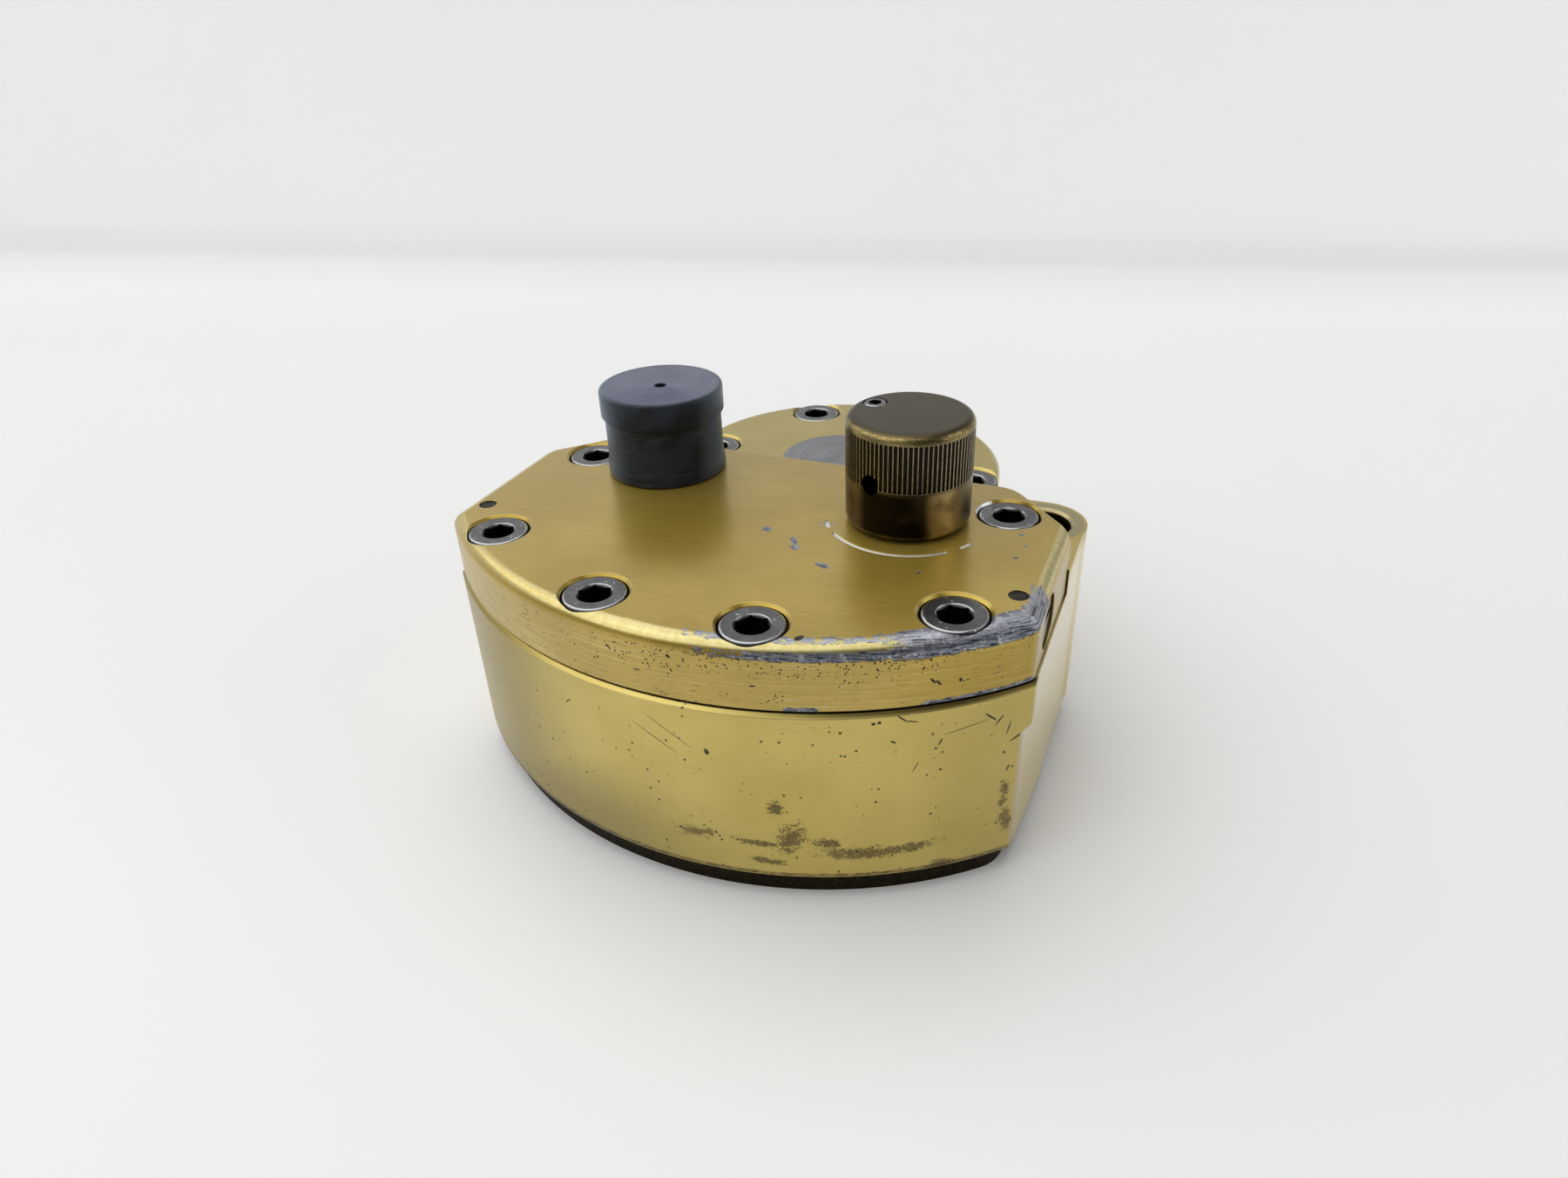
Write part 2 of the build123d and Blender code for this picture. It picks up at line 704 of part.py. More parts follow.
# Main shaft: head on top, keyway in the rotor's hub, ring groove and drive holes at the lower end
key_z = (hub_z + chamber_top_z - key_length) / 2
key_y = shaft_radius - key_height / 2
ring_z = base_z + retaining_ring_lift
ring_inner = shaft_radius - retaining_ring_depth
with BuildPart() as main_shaft:
    post((0, 0), 0, shaft_top_z, shaft_radius)
    post((0, 0), shaft_top_z - shaft_head_height, shaft_top_z, shaft_head_radius)
    chamfer(main_shaft.edges().group_by(Axis.Z)[-1], length=shaft_head_chamfer)
    with BuildSketch(Plane.XY.offset(ring_z - fit_gap)):
        Circle(2 * shaft_radius)
        Circle(ring_inner - fit_gap, mode=Mode.SUBTRACT)
    extrude(amount=retaining_ring_thickness + 2 * fit_gap, mode=Mode.SUBTRACT)
    with Locations((0, key_y - fit_gap, key_z - fit_gap)):
        Box(
            key_width + 2 * fit_gap,
            key_height,
            key_length + 2 * fit_gap,
            align=(Align.CENTER, Align.MIN, Align.MIN),
            mode=Mode.SUBTRACT,
        )
    bore([(0, 0)], 0, arm_bolt_depth, arm_bolt_radius)
    bore([(-arm_dowel_spacing / 2, 0), (arm_dowel_spacing / 2, 0)], 0, arm_dowel_depth, arm_dowel_radius)
main_shaft.part.label = "main_shaft"
export_step(main_shaft.part, "parts/main_shaft.step")

with BuildPart() as shaft_key:
    with Locations((0, key_y, key_z)):
        Box(key_width, key_height, key_length, align=(Align.CENTER, Align.MIN, Align.MIN))
shaft_key.part.label = "shaft_key"
export_step(shaft_key.part, "parts/shaft_key.step")

# Rotor: hub and vane in one piece, with a slot for the tip seal
vane_bottom_z = cover_top_z + vane_end_gap
vane_top_z = chamber_top_z - vane_end_gap
vane_reach = chamber_radius - vane_tip_gap
tip_slot_y = -chamber_radius + tip_seal_depth + vane_tip_gap
with BuildPart() as vane_rotor:
    with Locations((0, -vane_reach, vane_bottom_z)):
        Box(
            vane_thickness,
            vane_reach,
            vane_top_z - vane_bottom_z,
            align=(Align.CENTER, Align.MIN, Align.MIN),
        )
    bore([(0, 0)], vane_bottom_z, hub_z + vane_end_gap, hub_radius + 2 * run_gap)
    post((0, 0), hub_z + vane_end_gap, vane_top_z, hub_radius)
    bore([(0, 0)], vane_bottom_z, vane_top_z, shaft_radius + fit_gap)
    with Locations((0, 0, hub_z)):
        Box(
            key_width + 2 * fit_gap,
            key_y + key_height + fit_gap,
            vane_top_z - hub_z,
            align=(Align.CENTER, Align.MIN, Align.MIN),
            mode=Mode.SUBTRACT,
        )
    with Locations((0, tip_slot_y, vane_bottom_z)):
        Box(
            tip_seal_width + 2 * fit_gap,
            2 * tip_seal_depth,
            vane_top_z - vane_bottom_z,
            align=(Align.CENTER, Align.MAX, Align.MIN),
            mode=Mode.SUBTRACT,
        )
vane_rotor.part.label = "vane_rotor"
export_step(vane_rotor.part, "parts/vane_rotor.step")

with BuildPart() as vane_tip_seal:
    with Locations((0, tip_slot_y - fit_gap, vane_bottom_z)):
        Box(
            tip_seal_width,
            tip_seal_depth + vane_tip_gap - 2 * run_gap,
            vane_top_z - vane_bottom_z,
            align=(Align.CENTER, Align.MAX, Align.MIN),
        )
vane_tip_seal.part.label = "vane_tip_seal"
export_step(vane_tip_seal.part, "parts/vane_tip_seal.step")

with BuildPart() as retaining_ring:
    ring((0, 0), ring_z, ring_z + retaining_ring_thickness, ring_inner + retaining_ring_width, ring_inner)
    with Locations((0, 0, ring_z)):
        Box(
            retaining_ring_gap,
            2 * ring_recess_radius,
            retaining_ring_thickness,
            align=(Align.CENTER, Align.MAX, Align.MIN),
            mode=Mode.SUBTRACT,
        )
retaining_ring.part.label = "retaining_ring"
export_step(retaining_ring.part, "parts/retaining_ring.step")

# Fluted knob with its grub screw and the click stop's bore
knob_z = top_z + knob_gap
knob_top_z = knob_z + knob_height
detent_seat_z = knob_top_z - detent_screw_length - fit_gap
with BuildPart() as adjuster_knob:
    post(knob_point, knob_z, knob_top_z, knob_radius)
    fillet(adjuster_knob.edges().group_by(Axis.Z)[-1], knob_top_round)
    fillet(adjuster_knob.edges().group_by(Axis.Z)[0], knob_foot_round)
    with Locations((knob_x, knob_y, knob_top_z - flute_top - flute_length)):
        with PolarLocations(knob_radius, flute_count):
            Cylinder(flute_radius, flute_length, align=UP, mode=Mode.SUBTRACT)
    bore([knob_point], knob_z, knob_z + spindle_grip + fit_gap, spindle_radius + fit_gap)
    bore([detent_point], knob_z, knob_top_z, detent_bore_radius)
    bore([detent_point], detent_seat_z, knob_top_z, detent_screw_radius + fit_gap)
    with Locations(Plane((knob_x, knob_y, knob_z + grub_height), z_dir=grub_direction)):
        Cylinder(grub_hole_radius, 2 * knob_radius, align=UP, mode=Mode.SUBTRACT)
adjuster_knob.part.label = "adjuster_knob"
export_step(adjuster_knob.part, "parts/adjuster_knob.step")

with BuildPart() as knob_grub_screw:
    grub_start = spindle_radius + fit_gap
    grub_origin = (
        knob_x + grub_start * grub_direction[0],
        knob_y + grub_start * grub_direction[1],
        knob_z + grub_height,
    )
    with Locations(Plane(grub_origin, z_dir=grub_direction)):
        Cylinder(grub_hole_radius - fit_gap, grub_length, align=UP)
    with BuildSketch(Plane(grub_origin, z_dir=grub_direction).offset(grub_length)):
        RegularPolygon(grub_hole_radius / 2, 6, major_radius=False)
    extrude(amount=-grub_length / 2, mode=Mode.SUBTRACT)
knob_grub_screw.part.label = "knob_grub_screw"
export_step(knob_grub_screw.part, "parts/knob_grub_screw.step")

with BuildPart() as detent_screw:
    post(detent_point, detent_seat_z + fit_gap, knob_top_z, detent_screw_radius)
    chamfer(detent_screw.edges().group_by(Axis.Z)[-1], length=detent_screw_chamfer)
    with BuildSketch(Plane((detent_point[0], detent_point[1], knob_top_z))):
        RegularPolygon(detent_screw_radius / 2, 6, major_radius=False)
    extrude(amount=-detent_screw_length / 2, mode=Mode.SUBTRACT)
detent_screw.part.label = "detent_screw"
export_step(detent_screw.part, "parts/detent_screw.step")

ball_z = top_z + detent_ball_lift + detent_ball_radius
with BuildPart() as detent_ball:
    with Locations((detent_point[0], detent_point[1], ball_z)):
        Sphere(detent_ball_radius)
detent_ball.part.label = "detent_ball"
export_step(detent_ball.part, "parts/detent_ball.step")

with BuildPart() as detent_spring:
    detent_turn_gap = coil(
        detent_point,
        ball_z + detent_ball_radius + seat_gap,
        detent_seat_z - seat_gap,
        detent_coil_radius,
        detent_wire,
        detent_turns,
    )
detent_spring.part.label = "detent_spring"
export_step(detent_spring.part, "parts/detent_spring.step")

# Spindle under the knob, its gland and ring, and the needle that its thread drives
spindle_collar_z = gland_z - seat_gap - spindle_collar_height
o_ring_z = gland_z + gland_depth / 2
with BuildPart() as valve_spindle:
    post(knob_point, spindle_collar_z, knob_z + spindle_grip, spindle_radius)
    post(knob_point, spindle_collar_z, spindle_collar_z + spindle_collar_height, spindle_collar_radius)
    post(knob_point, spindle_collar_z - spindle_stud_length, spindle_collar_z, spindle_stud_radius)
valve_spindle.part.label = "valve_spindle"
export_step(valve_spindle.part, "parts/valve_spindle.step")

with BuildPart() as valve_gland:
    ring(knob_point, gland_z, top_z, gland_radius - fit_gap, spindle_radius + run_gap)
    groove_half = o_ring_radius + seat_gap
    groove_radius = spindle_radius + run_gap + 2 * o_ring_radius + seat_gap
    bore([knob_point], o_ring_z - groove_half, o_ring_z + groove_half, groove_radius)
valve_gland.part.label = "valve_gland"
export_step(valve_gland.part, "parts/valve_gland.step")

with BuildPart() as spindle_o_ring:
    o_ring(knob_point, o_ring_z, spindle_radius + run_gap)
spindle_o_ring.part.label = "spindle_o_ring"
export_step(spindle_o_ring.part, "parts/spindle_o_ring.step")

needle_top_z = collar_z - needle_travel - 2 * run_gap
needle_z = needle_top_z - needle_length
with BuildPart() as valve_needle:
    post(knob_point, needle_z, needle_top_z, needle_radius)
    with Locations((knob_x, knob_y, needle_z - needle_cone_length)):
        Cone(needle_tip_radius, needle_base_radius, needle_cone_length, align=UP)
    with Locations((knob_x + needle_radius, knob_y, needle_z)):
        Box(needle_rib, needle_rib, needle_length, align=UP)
    stud_end_z = spindle_collar_z - spindle_stud_length
    bore([knob_point], stud_end_z - needle_travel - 4 * run_gap, needle_top_z, spindle_stud_radius + run_gap)
valve_needle.part.label = "valve_needle"
export_step(valve_needle.part, "parts/valve_needle.step")

# Relief valve: body, poppet, spring and slotted adjuster
relief_top_z = top_z + relief_height
relief_screw_top_z = relief_top_z - relief_slot_depth / 2
relief_screw_z = relief_screw_top_z - relief_screw_length
poppet_z = channel_z + fit_gap
poppet_shoulder_z = relief_bottom_z + seat_gap
with BuildPart() as relief_body:
    post(relief_point, relief_bottom_z + fit_gap, top_z, relief_spigot_radius - fit_gap)
    post(relief_point, top_z, relief_top_z, relief_radius)
    chamfer(relief_body.edges().group_by(Axis.Z)[-1], length=relief_chamfer)
    bore([relief_point], relief_bottom_z, relief_top_z, relief_bore_radius)
    bore([relief_point], relief_screw_z - run_gap, relief_top_z, relief_screw_radius + run_gap)
relief_body.part.label = "relief_body"
export_step(relief_body.part, "parts/relief_body.step")

with BuildPart() as relief_poppet:
    post(relief_point, poppet_z, poppet_shoulder_z, poppet_radius)
    post(relief_point, poppet_shoulder_z, poppet_shoulder_z + poppet_stem_length, poppet_stem_radius)
relief_poppet.part.label = "relief_poppet"
export_step(relief_poppet.part, "parts/relief_poppet.step")

with BuildPart() as relief_spring:
    relief_turn_gap = coil(
        relief_point,
        poppet_shoulder_z + fit_gap,
        relief_screw_z - fit_gap,
        relief_coil_radius,
        relief_wire,
        relief_turns,
    )
relief_spring.part.label = "relief_spring"
export_step(relief_spring.part, "parts/relief_spring.step")

with BuildPart() as relief_adjuster:
    post(relief_point, relief_screw_z, relief_screw_top_z, relief_screw_radius)
    with Locations((relief_x, relief_y, relief_screw_top_z - relief_slot_depth)):
        Box(2 * relief_screw_radius, relief_slot, relief_slot_depth, align=UP, mode=Mode.SUBTRACT)
relief_adjuster.part.label = "relief_adjuster"
export_step(relief_adjuster.part, "parts/relief_adjuster.step")

# Rubber cap: collar on a slightly waisted skirt, hollow to fit over the relief body
with BuildPart() as dust_cap:
    rubber_z = top_z + seat_gap
    rubber_top_z = rubber_z + rubber_height
    collar_bottom_z = rubber_top_z - rubber_collar_height
    step = rubber_radius - rubber_skirt_radius
    with BuildSketch(Plane((relief_x, relief_y, 0), x_dir=(1, 0, 0), z_dir=(0, -1, 0))):
        with BuildLine():
            Polyline(
                (0, rubber_z),
                (rubber_foot_radius, rubber_z),
                (rubber_skirt_radius, rubber_z + rubber_foot_height),
                (rubber_skirt_radius, collar_bottom_z - step),
                (rubber_radius, collar_bottom_z),
                (rubber_radius, rubber_top_z),
                (0, rubber_top_z),
                close=True,
            )
        make_face()
    revolve(axis=Axis((relief_x, relief_y, 0), (0, 0, 1)))
    fillet(dust_cap.edges().group_by(Axis.Z)[-1], rubber_edge_round)
    bore([relief_point], rubber_z, rubber_top_z - rubber_top, relief_radius + run_gap)
    bore([relief_point], rubber_z, rubber_top_z, rubber_vent_radius)
dust_cap.part.label = "dust_cap"
export_step(dust_cap.part, "parts/dust_cap.step")

# Slotted sweep adjusters, one in each side of the plate, each with its ring
for side, hand in ((-1, "left"), (1, "right")):
    inward = Plane((side * (plate_half_width - sweep_sink), sweep_y, sweep_z), z_dir=(-side, 0, 0))
    groove_inner = sweep_radius - 2 * o_ring_radius
    with BuildPart() as sweep_adjuster:
        with Locations(inward):
            Cylinder(sweep_radius, sweep_length, align=UP)
            Box(sweep_slot, 2 * sweep_radius, sweep_slot_depth, align=UP, mode=Mode.SUBTRACT)
        with BuildSketch(inward.offset(sweep_o_ring_inset - o_ring_radius - seat_gap)):
            Circle(2 * sweep_radius)
            Circle(groove_inner - seat_gap, mode=Mode.SUBTRACT)
        extrude(amount=2 * (o_ring_radius + seat_gap), mode=Mode.SUBTRACT)
    sweep_adjuster.part.label = hand + "_sweep_adjuster"
    export_step(sweep_adjuster.part, "parts/" + hand + "_sweep_adjuster.step")
    with BuildPart() as sweep_o_ring:
        with Locations(inward.offset(sweep_o_ring_inset)):
            Torus(groove_inner + o_ring_radius, o_ring_radius)
    sweep_o_ring.part.label = hand + "_sweep_o_ring"
    export_step(sweep_o_ring.part, "parts/" + hand + "_sweep_o_ring.step")

print("least gap between turns, mm: detent", round(detent_turn_gap, 2), "relief", round(relief_turn_gap, 2))
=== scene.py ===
import json
from math import cos, degrees, pi, radians, sin
from types import SimpleNamespace

import bmesh
import bpy
from mathutils import Matrix, Vector


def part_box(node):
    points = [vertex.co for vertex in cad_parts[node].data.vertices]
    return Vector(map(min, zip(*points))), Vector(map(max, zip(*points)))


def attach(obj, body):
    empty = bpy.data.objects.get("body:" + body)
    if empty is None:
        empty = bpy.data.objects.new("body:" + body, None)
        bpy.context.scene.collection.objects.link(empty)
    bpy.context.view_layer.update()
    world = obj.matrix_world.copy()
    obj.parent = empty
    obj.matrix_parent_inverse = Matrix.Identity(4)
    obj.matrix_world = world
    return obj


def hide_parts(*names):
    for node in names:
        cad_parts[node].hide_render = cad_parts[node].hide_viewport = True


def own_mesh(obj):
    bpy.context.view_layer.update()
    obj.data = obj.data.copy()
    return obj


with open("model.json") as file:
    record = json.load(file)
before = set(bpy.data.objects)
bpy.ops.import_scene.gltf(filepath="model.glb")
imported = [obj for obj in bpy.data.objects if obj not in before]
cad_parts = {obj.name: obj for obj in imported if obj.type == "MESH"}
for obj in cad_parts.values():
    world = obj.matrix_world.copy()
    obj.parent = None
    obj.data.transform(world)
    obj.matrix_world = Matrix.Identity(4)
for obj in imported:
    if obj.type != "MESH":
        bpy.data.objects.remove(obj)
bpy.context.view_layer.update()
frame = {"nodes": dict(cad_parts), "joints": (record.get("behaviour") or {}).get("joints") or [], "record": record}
nodes = frame["nodes"]
mounts = {mount["name"]: mount for mount in frame["record"]["mounts"]}

# In metres
MM = 0.001
MERGE_DISTANCE = 1e-6

DEGREES_IN_RADIAN = degrees(1.0)

# Camera, solved from round features on the plate's top: lengths in millimetres, turns in degrees
CAMERA_PLACE = (56.22, -153.02, 105.99)
CAMERA_YAW = 23.67
CAMERA_PITCH = 30.93
CAMERA_ROLL = 2.273
CAMERA_LENS = 23.987
CAMERA_NEAR = 5.0
SENSOR_WIDTH = 36.0

# Sizes that the frame doesn't give, in millimetres
FRONT_RADIUS = 58.3
PLATE_ROUND = 2.0
SWEEP_MOUTH = 3.75
VENT_RADIUS = 0.85
SOCKET_RADIUS = 2.4
DETENT_SOCKET_RADIUS = 1.0


def node_box(name):
    """A node's lowest and highest corners, in millimetres."""
    return [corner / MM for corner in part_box(name)]


# Places on the part that the finishes need, in millimetres, taken from the frame
body_low, body_high = node_box("body")
plate_low, plate_high = node_box("valve_plate")
knob_low, knob_high = node_box("adjuster_knob")
rubber_low, rubber_high = node_box("dust_cap")
relief_low, relief_high = node_box("relief_body")
sweep_low, sweep_high = node_box("right_sweep_adjuster")
deck_z = node_box("bearing_cap")[1].z
floor_z = node_box("bottom_cover")[0].z
top_z = plate_high.z
seat_z = plate_low.z
knob_x, knob_y, _ = (knob_low + knob_high) / 2
rubber_x, rubber_y, _ = (rubber_low + rubber_high) / 2
_, sweep_y, sweep_z = (sweep_low + sweep_high) / 2
knob_radius = (knob_high.x - knob_low.x) / 2
rubber_radius = (rubber_high.x - rubber_low.x) / 2
relief_radius = (relief_high.x - relief_low.x) / 2
plate_half = plate_high.x
arc_y = body_low.y + FRONT_RADIUS
plate_radius = arc_y - plate_low.y
ear_x = mounts["ear_bolts"]["dims"]["spacing_x_mm"] / 2
ear_y = mounts["ear_bolts"]["pos_m"][1] / MM


class Wire:
    """One shader socket; arithmetic on wires adds Math nodes to the tree that owns it."""

    def __init__(self, owner, socket):
        self.owner = owner
        self.socket = socket

    def math(self, operation, *others):
        return self.owner.node("ShaderNodeMath", {"operation": operation}, [self, *others])

    def turned(self, operation, other):
        return self.owner.node("ShaderNodeMath", {"operation": operation}, [other, self])

    def __add__(self, other):
        return self.math("ADD", other)

    def __radd__(self, other):
        return self.turned("ADD", other)

    def __sub__(self, other):
        return self.math("SUBTRACT", other)

    def __rsub__(self, other):
        return self.turned("SUBTRACT", other)

    def __mul__(self, other):
        return self.math("MULTIPLY", other)

    def __rmul__(self, other):
        return self.turned("MULTIPLY", other)

    def __truediv__(self, other):
        return self.math("DIVIDE", other)

    def __abs__(self):
        return self.math("ABSOLUTE")

    def length_with(self, other):
        """Length of the hypotenuse over this wire and another."""
        return (self * self + other * other).math("SQRT")

    def most(self, other):
        return self.math("MAXIMUM", other)

    def least(self, other):
        return self.math("MINIMUM", other)

    def rise(self, low, high):
        """Smooth step from 0 at low to 1 at high; low may be the larger."""
        settings = {"interpolation_type": "SMOOTHSTEP"}
        return self.owner.node("ShaderNodeMapRange", settings, [self, low, high, 0.0, 1.0])

    def band(self, low, high, soft):
        """1 between low and high, falling to 0 over soft on both sides."""
        return self.rise(low - soft, low) * self.rise(high + soft, high)


class NodeTree:
    """A shader node tree that is being filled."""

    def __init__(self, tree):
        self.tree = tree

    def node(self, kind, settings=None, inputs=(), output=0):
        """Add a node, with its settings first and then its sockets' values or links."""
        made = self.tree.nodes.new(kind)
        for key, value in (settings or {}).items():
            setattr(made, key, value)
        pairs = inputs.items() if isinstance(inputs, dict) else enumerate(inputs)
        for key, value in pairs:
            self.join(made.inputs[key], value)
        return Wire(self, made.outputs[output])

    def join(self, socket, value):
        if isinstance(value, Wire):
            self.tree.links.new(value.socket, socket)
        elif isinstance(value, tuple) and socket.type == "RGBA":
            socket.default_value = (*value, 1.0)
        else:
            socket.default_value = value

    def first(self, kind):
        """The first node of a type that the tree already has."""
        return next(node for node in self.tree.nodes if node.type == kind)


class Finish(NodeTree):
    """A material being made: a Principled shader, and the nodes that feed it."""

    def __init__(self, name, **sockets):
        self.material = bpy.data.materials.new(name)
        self.material.use_nodes = True
        super().__init__(self.material.node_tree)
        self.shader = self.first("BSDF_PRINCIPLED")
        self.feed(**sockets)

    def feed(self, **sockets):
        for name, value in sockets.items():
            title = name.replace("_", " ").title().replace("Ior", "IOR")
            self.join(self.shader.inputs[title], value)

    def place(self):
        """Object coordinates in millimetres."""
        coordinates = self.node("ShaderNodeTexCoord", output="Object")
        inputs = {0: coordinates, "Scale": 1 / MM}
        return self.node("ShaderNodeVectorMath", {"operation": "SCALE"}, inputs)

    def split(self, vector):
        """The x, y and z of a vector."""
        first = self.node("ShaderNodeSeparateXYZ", {}, [vector])
        return [Wire(self, part) for part in first.socket.node.outputs]

    def vector(self, x, y, z):
        return self.node("ShaderNodeCombineXYZ", {}, [x, y, z])

    def noise(self, vector, scale, detail=2.0, roughness=0.5):
        inputs = {"Vector": vector, "Scale": scale, "Detail": detail, "Roughness": roughness}
        return self.node("ShaderNodeTexNoise", {}, inputs)

    def cells(self, vector, scale):
        """Distance to the nearest of many scattered points."""
        return self.node("ShaderNodeTexVoronoi", {"feature": "F1"}, {"Vector": vector, "Scale": scale})

    def mix(self, factor, one, other):
        settings = {"data_type": "RGBA", "clamp_factor": True}
        return self.node("ShaderNodeMix", settings, {0: factor, 6: one, 7: other}, output=2)

    def bump(self, height, distance, strength, normal=None):
        """Normal bent by a height; distance in millimetres."""
        inputs = {"Height": height, "Distance": distance * MM, "Strength": strength}
        if normal is not None:
            inputs["Normal"] = normal
        return self.node("ShaderNodeBump", {}, inputs)

    def soft_edge(self, radius):
        """Normal rounded at sharp edges, and a mask that is 1 on the edges."""
        rounded = self.node("ShaderNodeBevel", {"samples": 6}, [radius * MM])
        flat = self.node("ShaderNodeNewGeometry", output="Normal")
        settings = {"operation": "DOT_PRODUCT"}
        along = self.node("ShaderNodeVectorMath", settings, [rounded, flat], output="Value")
        return rounded, (1 - along).rise(0.004, 0.12)

    def streaks(self, along, aside, length, width, turn=0.0, seed=0.0):
        """Noise drawn out into lines of a length and width, turned by an angle in degrees."""
        c, s = cos(radians(turn)), sin(radians(turn))
        run = (along * c + aside * s) / length
        rise = (aside * c - along * s) / width
        return self.noise(self.vector(run, rise, seed), 1.0, 3.0, 0.6)

    def marks(self, along, aside, ragged, table, outer=1.1, inner=0.75):
        """Ragged spots at set places: (along, aside, half length, half width, turn)."""
        total = None
        for at, level, half_length, half_width, turn in table:
            c, s = cos(radians(turn)), sin(radians(turn))
            right, up = along - at, aside - level
            run = (right * c + up * s) / half_length
            rise = (up * c - right * s) / half_width
            spot = (run.length_with(rise) + ragged).rise(outer, inner)
            total = spot if total is None else total.most(spot)
        return total


# Gold anodising, what shows where it is worn through, dirt, and colours for painted shade, sheen and highlights
GOLD_PLATE = (0.50, 0.352, 0.060)
GOLD_PLATE_DEEP = (0.41, 0.280, 0.040)
GOLD_BODY = (0.63, 0.50, 0.145)
GOLD_BODY_DEEP = (0.55, 0.425, 0.110)
GOLD_PALE_AND_HIGHLIGHT = (0.82, 0.71, 0.36)
GOLD_EDGE_HIGHLIGHT = (0.66, 0.60, 0.28)
GOLD_SHADE = (0.30, 0.235, 0.07)
GOLD_SIDE_SHEEN = (0.80, 0.69, 0.40)
GOLD_DULL_AND_SHADE = (0.27, 0.185, 0.04)
BARE_CUT = (0.82, 0.83, 0.85)
BARE_PALE = (0.66, 0.66, 0.68)
BARE_LIGHT = (0.47, 0.48, 0.52)
BARE_DARK = (0.105, 0.120, 0.158)
BARE_DEEP = (0.045, 0.050, 0.068)
EAR_GREY = (0.34, 0.30, 0.17)
GRIME_AND_SHADE = (0.030, 0.020, 0.008)
STAIN_AND_SHADE = (0.085, 0.055, 0.018)
COAT = 0.5
GOLD_COAT = {"coat_weight": COAT, "coat_roughness": 0.2}

# Marks on the body's round front: degrees along it, height, half length, half width and turn
BODY_SMUDGES = [
    (14.6, 15.0, 0.9, 1.0, 0), (16.4, 10.0, 1.4, 2.3, -20), (12.0, 8.8, 2.6, 0.5, -4),
    (13.3, 5.8, 2.2, 0.5, -6), (25.5, 7.4, 4.6, 0.9, 0), (21.0, 9.2, 1.6, 0.8, 0),
    (31.5, 7.6, 3.2, 0.7, 4), (35.5, 3.7, 1.7, 0.75, 6), (44.0, 14.3, 0.6, 1.2, 10),
    (43.9, 12.0, 0.6, 0.7, 0), (44.5, 9.0, 0.8, 2.0, 8), (4.0, 9.2, 2.4, 0.7, 8),
]
BODY_CUTS = [
    (45.2, 22.4, 1.3, 0.16, 24), (41.2, 26.6, 1.2, 0.14, -42), (42.4, 25.8, 0.9, 0.12, 50),
    (30.0, 28.7, 0.9, 0.13, -40), (31.3, 28.1, 0.8, 0.10, -14), (26.6, 28.3, 0.28, 0.24, 0),
    (27.3, 28.4, 0.24, 0.24, 0), (29.0, 25.3, 0.45, 0.15, -32), (22.7, 27.2, 0.2, 0.2, 0),
    (31.8, 21.0, 0.9, 0.07, 64), (38.2, 25.9, 3.2, 0.06, 10), (34.8, 24.4, 0.6, 0.12, 65),
    (43.8, 24.2, 1.1, 0.10, 76), (43.4, 20.4, 0.2, 0.2, 0), (44.2, 17.6, 0.5, 0.14, 70),
    (6.4, 23.0, 0.32, 0.5, 20), (-0.4, 23.6, 3.6, 0.06, -30), (1.4, 25.2, 3.8, 0.05, -33),
    (-14.0, 24.6, 0.7, 0.10, 40), (35.0, 20.0, 0.2, 0.2, 0),
]
# Chips through the anodising on the plate's flat top: x, y, half length, half width and turn
PLATE_CHIPS = [
    (3.1, -36.9, 0.75, 0.7, 0), (7.9, -38.8, 1.3, 0.45, -60), (8.7, -40.4, 0.8, 0.6, -50),
    (13.9, -43.8, 1.2, 0.6, -20), (36.2, -27.4, 0.4, 0.4, 0), (36.7, -33.9, 0.35, 0.3, 0),
    (37.2, -30.4, 0.3, 0.25, 0), (26.0, -41.5, 0.25, 0.4, 0),
]
# Dent on the plate's rounding, beside a screw
PLATE_NICKS = [(17.3, -60.5, 0.75, 0.45, 62)]
# Dents on the plate's front band: degrees along it, height, half length, half width and turn
BAND_CUTS = [
    (33.6, 33.5, 0.55, 0.16, -48), (34.3, 33.1, 0.55, 0.16, -48), (37.0, 33.0, 0.2, 0.3, 0),
    (-2.0, 33.4, 0.5, 0.1, 0), (12.6, 33.6, 0.4, 0.12, 10), (2.4, 36.4, 0.25, 0.25, 0),
    (-6.0, 35.8, 0.2, 0.2, 0),
]


def gold_place(finish):
    """A point's x, y and z, its degrees along the round front, and its reach from the arc's centre."""
    place = finish.place()
    x, y, z = finish.split(place)
    forward = arc_y - y
    angle = x.math("ARCTAN2", forward) * DEGREES_IN_RADIAN
    return SimpleNamespace(place=place, x=x, y=y, z=z, angle=angle, reach=x.length_with(forward))


def body_shades(finish, at, smear, colour):
    """Painted shade on the ends and lower left of the front and along its bottom edge, painted sheen on the sides,
    and a thin dark line above the bottom chamfer.
    """
    # Painted shade: darker lower left, left end and right end of the front
    lower_left = at.z.rise(20.0, 6.0) * at.angle.rise(18.0, -12.0) * at.front
    shaded = lower_left.most(at.left_end) * 0.84
    shaded = shaded.most(at.angle.rise(28.0, 44.0) * at.front * 0.3)
    colour = finish.mix(shaded, colour, GOLD_SHADE)
    # Painted sheen: paler sides, more so higher up
    colour = finish.mix(at.side * (0.22 + at.z.rise(6.0, 25.0) * 0.5), colour, GOLD_SIDE_SHEEN)
    # Painted shade: a patchy darker band along the bottom of the front
    foot = at.z.rise(body_low.z + 1.6, body_low.z + 0.5) * at.front
    colour = finish.mix(foot * (0.2 + at.cloud * 0.5), colour, STAIN_AND_SHADE)
    bottom_line = at.z.band(body_low.z + 1.0, body_low.z + 1.3, 0.2) * at.front
    return finish.mix(bottom_line * (0.35 + smear.rise(0.4, 0.6) * 0.5), colour, STAIN_AND_SHADE)


